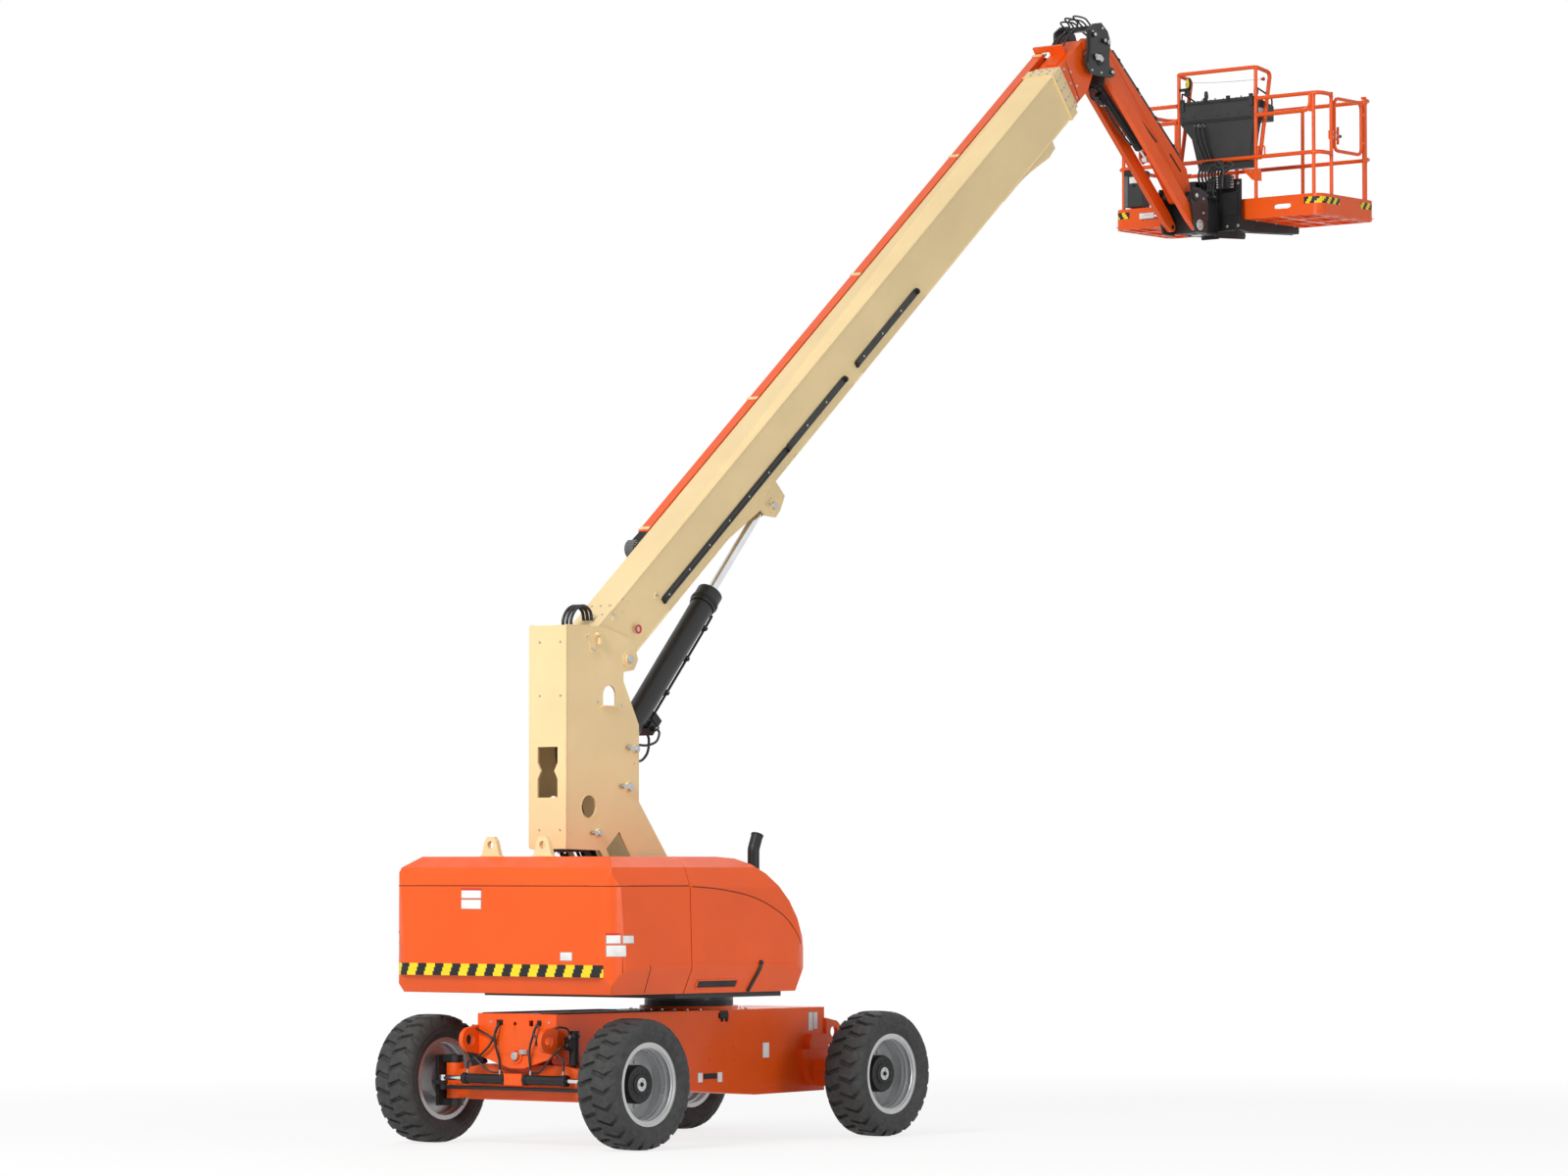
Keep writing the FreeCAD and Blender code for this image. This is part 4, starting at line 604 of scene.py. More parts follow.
def dress_wheel(end, side_name, x, side):
    """Steps, lip ring, nuts and valve of a rim, and its hub with the planet cover."""
    space = wheel_space(x, side)
    body = "wheel_%s_%s" % (end, side_name)
    outward = (0, 1, 0)
    steps = Form("rim_steps_%s_%s" % (end, side_name), body, [SILVER, ZINC], space)
    for at_y, wide, deep in ((118, 22, 9), (78, 10, 14), (40, 10, 20), (-96, 16, 12)):
        steps.turned([(RIM_R, 0), (RIM_R - deep, wide * 0.25), (RIM_R - deep, wide * 0.75), (RIM_R, wide)],
                     (0, at_y, 0), outward, 0, 96)
    steps.turned([(300, 0), (326, 0), (329, 4), (326, 8), (302, 8), (299, 4)], (0, 144, 0), outward, 1, 96)
    for u, v in around(10, 178):
        steps.bolt((u, -44, v), outward, 13, 1)
    steps.pipe([(276, -40, 30), (270, -8, 34), (262, 14, 36)], 5, 1, 10)
    steps.done(1.0)

    hub = Form("hub_parts_%s_%s" % (end, side_name), body, [BLACK, ZINC, PLASTIC], space)
    hub.collar(124, 141, 26, (0, -28, 0), outward, 0, 48)
    for k in range(12):
        a = 2 * math.pi * (k + 0.5) / 12
        hub.block((-9, -2, 118), (9, 50, 131), 0, Matrix.Rotation(a, 4, "Y"))
        hub.bolt((104 * math.cos(a), 62, 104 * math.sin(a)), outward, 7)
    hub.turned([(54, 0), (84, 0), (84, 8), (76, 14), (54, 14)], (0, 61, 0), outward, 0, 48)
    for u, v in around(3, 34):
        hub.bolt((u, 80, v), outward, 6, 1)
    hub.bolt((0, 80, 0), outward, 14, 0)
    shell = [(145.5, -42), (150, -42), (150, 48), (143, 64.5), (0.5, 64.5), (0.5, 62), (141, 62), (145.5, 47)]
    hub.turned(shell, (0, 0, 0), outward, 0, 64)
    hub.done(1.5)


TREAD_BARS = 24
TREAD_SIDE = [
    (8, 509, 26), (60, 508.5, 26), (112, 506, 26), (146, 496, 22), (166, 478, 14), (179, 456, 6),
    (185, 438, 0), (187.2, 422, 0), (185.4, 419, 0), (187, 402, 0), (187.3, 384, 0), (185, 381, 0),
    (183, 366, 0), (176, 350, 0), (163, 335, 0), (147, 325, 0), (141, 306, 0),
]
BAR_MARKS = [(0.03, 1), (0.27, 1), (0.31, 0), (0.54, 0), (0.77, 0), (0.99, 0)]


def dress_tyre(end, side_name, x, side):
    """Moulded tyre: two staggered rows of broad hooked bars with shallow grooves between them."""
    form = Form("tread_%s_%s" % (end, side_name), "wheel_%s_%s" % (end, side_name), [TYRE],
                wheel_space(x, side))
    pitch = 2 * math.pi / TREAD_BARS
    per_bar = len(BAR_MARKS)
    half_bar = per_bar // 2

    def ring(way, across, radius, groove):
        slant = (0.34 * min(across, 112) - 0.75 * max(across - 112, 0)) / radius
        made = []
        for k in range(TREAD_BARS * per_bar):
            number = k if way > 0 else k - half_bar
            share, sunk = BAR_MARKS[number % per_bar]
            stagger = 0.0 if way > 0 else 0.5
            a = pitch * (number // per_bar + share + stagger) + slant
            r = radius - groove * sunk
            made.append(form.mesh.verts.new((r * math.sin(a), way * across, r * math.cos(a))))
        return made

    rings = [ring(1, *row) for row in reversed(TREAD_SIDE)] + [ring(-1, *row) for row in TREAD_SIDE]
    bmesh.ops.recalc_face_normals(form.mesh, faces=form._tube(rings, True))
    form._into([v for made in rings for v in made])
    piece = form.done(0)
    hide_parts("tyre_%s_%s" % (end, side_name))


for end_name, axle_x in (("steer", -AXLE_X), ("drive", AXLE_X)):
    for hand, sign in (("left", 1), ("right", -1)):
        dress_wheel(end_name, hand, axle_x, sign)
        dress_tyre(end_name, hand, axle_x, sign)


# ---- chassis ---------------------------------------------------------------------------------
CHASSIS_HALF = 410
CHASSIS_END = -1700
STEER_RAM_X = -AXLE_X - 190
STEER_RAM_Z = 527.6
LOCK_RAM_X = -1565
LOCK_RAM_Y = 480


def blank_label(form, low, high, axis, surface, way, number=0, edge=1):
    """White plate with a grey edge on a flat face, standing a millimetre proud."""
    (a0, b0), (a1, b1) = low, high

    def corner(a, b, depth):
        return {"X": (surface + way * depth, a, b), "Y": (a, surface + way * depth, b)}[axis]

    def plate(inset, depth, mat):
        form.block(corner(a0 + inset, b0 + inset, 0), corner(a1 - inset, b1 - inset, depth), mat)

    plate(0, 0.8, edge)
    plate(3, 1.5, number)


def dress_chassis():
    """Bolts, lamps, slots and pin at the chassis' sides and end, and its blank labels."""
    form = Form("chassis_fittings", "chassis", [ZINC, BLACK, ORANGE, CHROME])
    for side in (-1, 1):
        face = side * CHASSIS_HALF
        for x, z in ((175, 743), (485, 742), (175, 634), (485, 630)):
            form.bolt((x, face, z), (0, side, 0), 8, 2)
        form.block((98, face, 489), (256, face + side * 9, 532), 1)
        form.block((300, face, 968), (400, face + side * 4, 1032), 1)
        for x in (322, 378):
            form.block((x - 9, face, 944), (x + 9, face + side * 16, 976), 1)
        for k in range(3):
            form.bolt((900 + 40 * k, face, 398), (0, side, 0), 6, 2)
    end = CHASSIS_END
    for y in (266, -336):
        form.bolt((end, y, 973), (-1, 0, 0), 8)
    form.collar(40, 62, 10, (end, 0, 712), (-1, 0, 0), 2, 40)
    form.pin_end((end - 22, 0, 712), (-1, 0, 0), 34)
    form.block((end - 16, -118, 726), (end - 6, -40, 762), 0, Matrix.Identity(4))
    form.bolt((end - 16, -98, 744), (-1, 0, 0), 9)
    for y in (163, -238):
        form.block((end - 8, y - 20, 952), (end + 2, y + 20, 992), 1)
    form.done(1.5)

    plates = Form("chassis_plates", "chassis", [WHITE, LABEL_EDGE])
    for side in (-1, 1):
        face = side * CHASSIS_HALF
        for low, high in (((1440, 846), (1500, 1000)), ((1506, 858), (1560, 1000)), ((845, 640), (930, 765)),
                          ((24, 462), (84, 542)), ((270, 458), (332, 541))):
            blank_label(plates, low, high, "Y", face, side)
    plates.done(0.3)


def dress_steer_axle():
    """Ram caps, lockout rams, hoses and fittings round the oscillating axle."""
    x, z = STEER_RAM_X, STEER_RAM_Z
    form = Form("axle_ram_fittings", "chassis", [BLACK, ZINC, ORANGE])
    for side in (-1, 1):
        form.collar(38, 45, 46, (x, side * 540, z), (0, -side, 0), 0, 32)
        form.collar(38, 44, 30, (x, side * 130, z), (0, -side, 0), 0, 32)
        for y in (160, 500):
            form.rod((x, side * y, z + 30), (x, side * y, z + 62), 11, 1, 6)
            form.rod((x, side * y, z + 58), (x, side * y, z + 74), 8, 1, 16)
        base_x, base_y = LOCK_RAM_X, side * LOCK_RAM_Y
        form.collar(38, 46, 24, (base_x, base_y, 880), (0, 0, -1), 0, 32)
        form.collar(20.5, 42, 20, (base_x, base_y, 645), (0, 0, 1), 0, 32)
        form.block((base_x - 70, base_y - 26, 770), (base_x - 34, base_y + 26, 850))
        form.rod((base_x - 52, base_y, 850), (base_x - 52, base_y, 880), 11, 1, 6)
        form.rod((base_x - 70, base_y, 800), (base_x - 92, base_y, 800), 10, 1, 6)
        form.block((base_x - 30, base_y - 30, 895), (base_x + 30, base_y + 30, 912))
    form.done(1.5)

    hoses = Form("axle_hoses", "chassis", [HOSE, ZINC])
    end = CHASSIS_END
    for y0, y1 in ((163, 160), (-238, -160), (-246, -500)):
        hoses.pipe([(end - 4, y0, 975), (end - 34, y0 + 4, 950), (end - 48, y0 + 22, 880),
                    (end - 46, (y0 + y1) / 2 + 18, 790), (x - 4, y1 + 8, 690), (x, y1, z + 74)], 9, 0)
    hoses.pipe([(end - 4, 171, 965), (end - 30, 175, 930), (end - 40, 240, 800), (x - 8, 380, 700),
                (x - 2, 488, 660), (x, 500, z + 74)], 9, 0)
    for side in (-1, 1):
        y = side * LOCK_RAM_Y
        hoses.pipe([(LOCK_RAM_X - 52, y, 880), (-1640, side * 470, 930), (end - 24, side * 440, 940),
                    (end - 36, side * 340, 900), (end - 30, side * 250, 860), (end - 6, side * 205, 800)], 8)
        hoses.pipe([(LOCK_RAM_X - 92, y, 800), (end - 20, side * 470, 780), (end - 50, side * 400, 700),
                    (x - 30, side * 330, 640), (x - 10, side * 250, 585), (x + 20, side * 150, 580)], 8)
    hoses.done(0)


def dress_drive_axle():
    """Gussets, hub bolts and clamp bolts of the fixed axle."""
    form = Form("drive_axle_fittings", "chassis", [ORANGE, ZINC, BLACK])
    for side in (-1, 1):
        face = side * CHASSIS_HALF
        wedge = [(1384, 700), (1384, 768), (1420, 820), (1632, 820), (1632, 700)]
        form.prism(wedge, min(face, face + side * 62), 62)
        for u, v in around(10, 112):
            form.bolt((AXLE_X + u, side * 888, TYRE_R + v), (0, side, 0), 8, 2)
        form.bolts((AXLE_X - 90, AXLE_X + 90), [side * 600], [620], (0, 0, 1))
    form.done(2.0)


dress_chassis()
dress_steer_axle()
dress_drive_axle()


# ---- turntable -------------------------------------------------------------------------------
HOOD_HALF = 1170
OUTSIDE = HOOD_HALF + 60
TAIL_X = -1920
TAIL_CORNER = 210
HAZARD_LOW = 1338
HAZARD_HIGH = 1432
BELT_Z = 2040
FOLD_Z = 1447


class Skin:
    """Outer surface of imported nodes, for setting small parts on it."""

    def __init__(self, *names):
        verts, faces = [], []
        for name in names:
            mesh = NODES[name].data
            start = len(verts)
            verts += [v.co.copy() for v in mesh.vertices]
            faces += [[start + i for i in p.vertices] for p in mesh.polygons]
        self.tree = BVHTree.FromPolygons(verts, faces)

    def meet(self, place, direction, lift=0.0):
        """Where a line from outside through a place meets the surface, raised by a lift in mm."""
        way = Vector(direction).normalized()
        start = MACHINE @ (Vector(place) - way * 1500)
        hit, normal, _, _ = self.tree.ray_cast(start, way)
        if hit is None:
            return Vector(place)
        return MACHINE.inverted() @ hit + normal * lift

    def follow(self, places, direction, lift=0.0, steps=8):
        """Points every so often along a line of places, dropped on the surface."""
        path = smooth_path([Vector(p) for p in places], steps)
        return [self.meet(p, direction, lift) for p in path]


def patch(form, skin, low, high, axis, way, lift, number, cells=(6, 4), lean=0.0):
    """Thin sheet over a rectangle of a surface."""
    (a0, b0), (a1, b1) = low, high
    across, up = cells
    direction = {"X": (-way, 0, 0), "Y": (0, -way, 0), "Z": (0, 0, -way)}[axis]
    foot = {"X": (TAIL_X if way < 0 else 0, 0, 0), "Y": (0, way * HOOD_HALF, 0), "Z": (0, 0, 0)}[axis]

    def spot(k, r):
        a = a0 + (a1 - a0) * k / across + lean * r / up
        b = b0 + (b1 - b0) * r / up
        place = {"X": (0, a, b), "Y": (a, 0, b), "Z": (a, b, 0)}[axis]
        return skin.meet(Vector(place) + Vector(foot), direction, lift)

    grid = [[spot(k, r) for r in range(up + 1)] for k in range(across + 1)]
    form.sheet(grid, lambda k, r: number)


def surface_label(form, skin, low, high, axis, way, edge=1, face=0, rim=4):
    """White plate with a thin grey border that lies on a curved surface."""
    patch(form, skin, low, high, axis, way, 0.7, edge)
    inner_low = (low[0] + rim, low[1] + rim)
    inner_high = (high[0] - rim, high[1] - rim)
    patch(form, skin, inner_low, inner_high, axis, way, 1.3, face)


def bead(form, skin, places, direction, radius, number, lift=0.0):
    """Half-round bead pressed into a surface along a line."""
    form.pipe(skin.follow(places, direction, lift), radius, number, 8)


def lay_on(piece, target, lift):
    """Press a piece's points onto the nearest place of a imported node, a lift in mm above it."""
    wrap = piece.modifiers.new("lay", "SHRINKWRAP")
    wrap.target = NODES[target]
    wrap.wrap_method = "NEAREST_SURFACEPOINT"
    wrap.wrap_mode = "OUTSIDE"
    wrap.offset = lift * 0.001


def tail_plan(first, last):
    """Corners of the tail's plan from part way round its right rear corner to its left one."""
    half = HOOD_HALF - TAIL_CORNER
    middle_x = TAIL_X + TAIL_CORNER
    points = []
    for k in range(9):
        a = math.radians(first * (1 - k / 8))
        points.append((middle_x - TAIL_CORNER * math.cos(a), -half - TAIL_CORNER * math.sin(a)))
    for k in range(9):
        a = math.radians(last * k / 8)
        points.append((middle_x - TAIL_CORNER * math.cos(a), half + TAIL_CORNER * math.sin(a)))
    return points


def walk(points, step):
    """Even places along a polyline."""
    places = []
    along = 0.0
    need = 0.0
    for (ax, ay), (bx, by) in zip(points, points[1:]):
        length = math.hypot(bx - ax, by - ay)
        while need <= along + length:
            t = (need - along) / length
            places.append((ax + (bx - ax) * t, ay + (by - ay) * t))
            need += step
        along += length
    return places


def hazard_band():
    """Black and yellow slanted blocks round the tail."""
    form = Form("hazard_band", "turntable", [YELLOW, BLACK])
    lean = 3
    rows = 6
    tall = HAZARD_HIGH - HAZARD_LOW
    grid = [[(x - 2, y, HAZARD_LOW + tall * r / rows) for r in range(rows + 1)]
            for x, y in walk(tail_plan(29, 78), 13.0)]
    form.sheet(grid, lambda k, r: int((k + 5 + lean * r / rows) // 7) % 2)
    piece = form.done(0, 60)
    lay_on(piece, "counterweight", 1.2)


def dress_tail():
    """Blank labels, seams and folds of the tail, the grooves and joints drawn as dark beads of painted shade,
    and the welds of the lifting lugs.
    """
    skin = Skin("counterweight")
    labels = Form("tail_plates", "turntable", [WHITE, LABEL_EDGE, RED])
    for low, high in (((190, 1942), (402, 2018)), ((190, 1858), (402, 1934))):
        surface_label(labels, skin, low, high, "X", -1)
    patch(labels, skin, (190, 2004), (402, 2020), "X", -1, 1.8, 2, (4, 1))
    surface_label(labels, skin, (-764, 1463), (-639, 1531), "X", -1)
    for side in (-1, 1):
        surface_label(labels, skin, (-1885, 1598), (-1794, 1678), "Y", side)
        surface_label(labels, skin, (-1780, 1598), (-1652, 1662), "Y", side)
        surface_label(labels, skin, (-1885, 1497), (-1745, 1588), "Y", side)
        patch(labels, skin, (-1885, 1662), (-1794, 1680), "Y", side, 1.9, 2, (4, 1))
    labels.done(0, 60)

    lines = Form("tail_lines", "turntable", [PAINTED_SHADE, ORANGE])
    rear = [(TAIL_X, y, BELT_Z) for y in (-900, -450, 0, 450, 900)]
    # The belt groove as a dark bead of painted shade, with a raised orange lip 12 mm above it.
    bead(lines, skin, rear, (1, 0, 0), 4, 0, -1)
    bead(lines, skin, [(x, y, z + 12) for x, y, z in rear], (1, 0, 0), 7, 1, -3)
    for side in (-1, 1):
        turn = [(TAIL_X - 30, side * 900, BELT_Z), (TAIL_X, side * (OUTSIDE - 200), BELT_Z),
                (TAIL_X + 120, side * (OUTSIDE - 90), BELT_Z), (TAIL_X + 260, side * OUTSIDE, BELT_Z)]
        bead(lines, skin, turn, (1, -side * 0.8, 0), 4, 0, -1)
        run = [(x, side * OUTSIDE, BELT_Z) for x in (-1690, -1450, -1200, -975)]
        bead(lines, skin, run, (0, -side, 0), 4, 0, -1)
        bead(lines, skin, [(x, y, z + 12) for x, y, z in run], (0, -side, 0), 7, 1, -3)
        fold = [(x, side * OUTSIDE, FOLD_Z) for x in (-1476, -1200, -975)]
        bead(lines, skin, fold, (0, -side, 0), 6, 1, -2)
        # The joint between tail and hood as a thin dark bead of painted shade.
        joint = [(x, side * OUTSIDE, z) for x, z in ((-1462, 1424), (-1450, 1320), (-1437, 1215))]
        bead(lines, skin, joint, (0, -side, 0), 3.5, 0, -0.5)
    lines.done(0, 60)

    lugs = Form("lifting_lug_welds", "turntable", [CREAM])
    for y in (-272, 272):
        weld = [(y - 112, 2262), (y - 96, 2281), (y + 96, 2281), (y + 112, 2262)]
        lugs.prism(weld, TAIL_X + 204, 52, "X")
    lugs.done(3.0)


def dress_hood(name, side):
    """Belt line, fold, sunk hand hold and rubber latch on one hood."""
    skin = Skin("hood_" + name)
    inwards = (0, -side, 0)
    lines = Form("hood_lines_" + name, "hood_" + name, [PAINTED_SHADE, ORANGE])
    belt = [(-940, 2034), (-800, 2028), (-638, 2017), (-470, 1998), (-300, 1973), (-160, 1942), (-28, 1901),
            (80, 1857), (178, 1809), (255, 1757), (317, 1700), (370, 1640), (410, 1575)]
    # The belt groove as a dark bead of painted shade, with a raised orange lip 12 mm above it.
    bead(lines, skin, [(x, side * OUTSIDE, z) for x, z in belt], inwards, 4, 0, -1)
    bead(lines, skin, [(x, side * OUTSIDE, z + 12) for x, z in belt], inwards, 7, 1, -3)
    fold = [(x, side * OUTSIDE, FOLD_Z - 0.010 * (x + 945)) for x in (-945, -600, -200, 150, 300)]
    bead(lines, skin, fold, inwards, 6, 1, -2)
    lines.done(0, 60)

    fittings = Form("hood_fittings_" + name, "hood_" + name, [BLACK, ORANGE, PLASTIC])
    patch(fittings, skin, (-822, 1246), (-352, 1296), "Y", side, 0.8, 0, (10, 3))
    hold = [(-838, 1238), (-352, 1238), (-332, 1270), (-352, 1303), (-838, 1303), (-850, 1270), (-838, 1238)]
    for (xa, za), (xb, zb) in zip(hold, hold[1:]):
        bead(fittings, skin, [(xa, side * OUTSIDE, za), (xb, side * OUTSIDE, zb)], inwards, 8, 1, 0)
    latch = [(x, side * OUTSIDE, z) for x, z in ((-120, 1412), (-134, 1350), (-160, 1270), (-178, 1206))]
    fittings.pipe(skin.follow(latch, inwards, 8), 15, 2, 10)
    top = skin.meet((-112, side * OUTSIDE, 1432), inwards, 4)
    fittings.rod(top + Vector((0, -6 * side, 0)), top + Vector((0, 12 * side, 0)), 20, 0, 20)
    fittings.done(1.0)


def dress_exhaust():
    """Rolled rim at the mouth, clamp and rain flange of the stack, and a dark disc of painted shade inside
    the mouth.
    """
    form = Form("exhaust_fittings", "hood_right", [BLACK, PAINTED_SHADE])
    skin = Skin("hood_right")
    foot = skin.meet((250, -800, 2300), (0, 0, -1))
    form.turned([(49, -16), (66, -16), (63, 6), (52, 18), (49, 18)], foot, (0, 0, 1), 0, 48)
    way = Vector((50, 0, 120)).normalized()
    mouth = Vector((300, -800, 2450))
    form.turned([(40, -1), (48, -14), (51.5, -12), (51.5, -2), (47, 2)], mouth, way, 0, 48)
    # Dark disc of painted shade that closes the mouth, where the pipe's inside lies in shade.
    form.rod(mouth - way * 8, mouth + way * 0.6, 42, 1, 40)
    form.done(0)


hazard_band()
dress_tail()
dress_hood("left", 1)
dress_hood("right", -1)
dress_exhaust()


# ---- upright ---------------------------------------------------------------------------------
MAST_HALF = 190
MAST_REAR = -1340


def keeper(form, pin, tail, face, side, radius, number=0, plate=1):
    """Round pin end with the flat keeper that a single bolt holds beside it."""
    form.pin_end((pin[0], face, pin[1]), (0, side, 0), radius, number)
    low_z, high_z = sorted((pin[1], tail[1]))
    form.block((pin[0], face, low_z - 15), (tail[0], face + side * 9, high_z + 15), plate)
    form.rod((tail[0], face, tail[1]), (tail[0], face + side * 12, tail[1]), 19, plate, 24)
    form.bolt((tail[0], face + side * 12, tail[1]), (0, side, 0), 12, number)


def dress_mast():
    """Pins, keepers, bracket, bolts and welds of the upright, and what shows inside it."""
    form = Form("mast_pins", "turntable", [ZINC, CREAM, BLACK, RED])
    for side in (-1, 1):
        face = side * (MAST_HALF + 24)
        keeper(form, LIFT_BASE, (-598, 3138), side * (MAST_HALF + 23), side, 30, 0, 0)
        keeper(form, (-580, 2825), (-676, 2830), side * (MAST_HALF + 21), side, 36, 0, 0)
        keeper(form, (-950, 2456), (-1030, 2457), side * (MAST_HALF + 21), side, 27, 0, 0)
        form.pin_end((BOOM_PIVOT[0], face, BOOM_PIVOT[1]), (0, side, 0), 36)
        form.collar(43, 70, 9, (BOOM_PIVOT[0], side * MAST_HALF, BOOM_PIVOT[1]), (0, side, 0), 1, 48)
        for x, z in ((-632, 3802), (-540, 3790), (-632, 3888)):
            form.bolt((x, side * MAST_HALF, z), (0, side, 0), 8)
        form.collar(22, 37, 8, (-455, side * MAST_HALF - side * 6, 4089),
                    (0, side, 0), 3, 40)
        form.rod((-455, side * (MAST_HALF - 10), 4089), (-455, side * (MAST_HALF - 2), 4089), 26, 0, 32)
        form.block((-918, side * MAST_HALF, 3456), (-726, side * (MAST_HALF + 22), 3470), 1)
        for x, z in ((-954, 3497), (-664, 3478)):
            form.bolt((x, side * MAST_HALF, z), (0, side, 0), 9)
        form.bolt((-508, side * MAST_HALF, 3014), (0, side, 0), 6)
        low_y = min(side * MAST_HALF, side * (MAST_HALF + 12))
        bracket = [(-1122, 4010), (-1060, 4045), (-930, 4055), (-930, 4020), (-1010, 4000), (-985, 3905),
                   (-1040, 3885), (-1075, 3975)]
        form.prism(bracket, low_y, 12, "Y", 1)
        for x, z in ((-1098, 4012), (-1040, 3915), (-1010, 3905)):
            form.bolt((x, side * (MAST_HALF + 12), z), (0, side, 0), 7)
        form.rod((-985, side * MAST_HALF, 4032), (-985, side * (MAST_HALF + 40), 4032), 14, 1, 20)
        form.block((-968, side * 190, 3952), (-938, side * 226, 4046), 1)
        ring = [(-1060 + u, side * (MAST_HALF - 1), 2665 + v) for u, v in around(24, 92)]
        form.pipe(ring + ring[:1], 4, 1, 8)
    form.bolts([MAST_REAR], (84, -133), (3963, 3538, 2480), (-1, 0, 0), 8)
    form.done(1.2)

    welds = Form("mast_welds", "turntable", [CREAM])
    for side in (-1, 1):
        welds.pipe([(MAST_REAR + 2, side * 188, 2345), (MAST_REAR + 2, side * 188, 4088)], 7, 0, 10)
        welds.pipe([(MAST_REAR + 6, side * 186, 4094), (-1080, side * 186, 4094)], 6, 0, 10)
    welds.done(0)

    under = Form("mast_under_parts", "turntable", [BLACK, HOSE, ZINC])
    under.block((-1325, -150, 2306), (-1070, 150, 2338))
    for y in (-120, -60, 0, 70, 130):
        under.rod((-1270, y, 2306), (-1270, y, 2292), 12, 2, 6)
    for side in (-1, 1):
        link = [(-1075, 2330), (-1000, 2330), (-800, 2120), (-870, 2060), (-930, 2140)]
        under.prism(link, side * 120 - 12, 24)
    for k in range(4):
        y = -75 + 50 * k
        under.pipe([(-1150, y, 2330), (-1060, y, 2420), (-930, y, 2350), (-820, y, 2200), (-780, y, 2060)],
                   11, 1, 10)
    for k in range(5):
        y = -90 + 45 * k
        under.pipe([(-760, y, 2100), (-1000, y, 2560), (-1130, y, 3100), (-1140, y, 3650), (-1120, y, 4086)],
                   12, 1, 10)
    under.done(1.0)


def boom_foot_hoses():
    """Loop of hoses out of the upright's top into the boom's closed end."""
    form = Form("boom_foot_hoses", None, [HOSE])
    for k in range(3):
        y = -50 + 42 * k
        form.pipe([(-1110, y, 4060), (-1116, y, 4150), (-1060, y, 4232), (-970, y, 4262), (-890, y, 4225),
                   (-868, y, 4150)], 13, 0, 12)
    piece = form.done(0)
    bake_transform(piece)


dress_mast()
boom_foot_hoses()


# ---- boom ------------------------------------------------------------------------------------
BASE_HALF = 150
BASE_LOW = -45
BASE_HIGH = 400
FLY_HALF = 122
FLY_LOW = -17
FLY_HIGH = 372


def dress_base_boom():
    """Foot plates, side strips' mouths and lines, end collar's bolts, welds and the ram's lug."""
    strip = BASE_HALF + 14
    collar = (BASE_END - 74, BASE_END - 26)
    form = Form("boom_fittings", "base_boom", [CREAM, ZINC, BLACK, PLASTIC], BOOM)
    for along, across in ((291, 383), (221, 311), (112, 372), (330, 330)):
        for side in (-1, 1):
            form.bolt((along, side * BASE_HALF, across), (0, side, 0), 6, 1)
    form.bolts((65, 184), (-95, 0, 95), [BASE_HIGH], (0, 0, 1), 8, 1)
    for side in (-1, 1):
        low_y = min(side * BASE_HALF, side * (BASE_HALF + 5))
        form.prism([(70, 330), (150, 385), (176, 372), (150, 340), (96, 304)], low_y, 5)
        form.rod((121, side * BASE_HALF, 352), (121, side * (BASE_HALF + 6), 352), 16, 1, 24)
        form.prism([(600, 150), (640, 185), (668, 178), (655, 146), (618, 128)], low_y, 26)
        form.rod((636, side * BASE_HALF, 158), (636, side * (BASE_HALF + 34), 158), 9, 1, 20)
        for along, mouth in ((690, -1), (2720, 1), (2760, -1), (3720, 1), (3950, -1), (5000, 1)):
            form.rod((along, side * strip, 70), (along + mouth * 22, side * strip, 70), 27, 2, 24)
        form.bolts(range(760, 5000, 330), [side * strip], [70], (0, side, 0), 7, 1)
        for across in (88, 52):
            form.pipe([(702, side * (strip + 2), across), (2700, side * (strip + 2), across)], 5, 3, 8)
        form.bolts(collar, [side * (BASE_HALF + 12)], (30, 130, 230, 330), (0, side, 0), 9, 1)
    form.bolts(collar, (-90, 0, 90), [BASE_HIGH + 12], (0, 0, 1), 9, 1)
    form.bolts(collar, (-90, 0, 90), [BASE_LOW - 12], (0, 0, -1), 9, 1)
    form.block((BASE_END - 108, -BASE_HALF - 18, BASE_LOW - 18),
               (BASE_END - 100, BASE_HALF + 18, BASE_HIGH + 18))
    form.done(1.2)

    welds = Form("boom_welds", "base_boom", [CREAM], BOOM)
    for side in (-1, 1):
        for across in (BASE_LOW + 4, BASE_HIGH - 4):
            welds.pipe([(110, side * 149, across), (BASE_END - 110, side * 149, across)], 7, 0, 8)
        welds.pipe([(BASE_END - 1400, side * 149, BASE_LOW - 2), (BASE_END - 1010, side * 149, BASE_LOW - 12),
                    (BASE_END - 580, side * 149, BASE_LOW - 85)], 6, 0, 8)
    welds.done(0)

    x0, z0 = LIFT_EYE
    ram = Form("ram_lug_fittings", "base_boom", [ZINC, CREAM])
    for side in (-1, 1):
        ram.collar(39, 62, 10, (x0, side * 120, z0), (0, side, 0), 1, 40)
        ram.pin_end((x0, side * 138, z0), (0, side, 0), 33)
        ram.block((x0 - 92, side * 120, z0 - 6), (x0 - 40, side * 130, z0 + 26), 1)
        ram.bolt((x0 - 70, side * 130, z0 + 10), (0, side, 0), 9)
    ram.done(1.2)


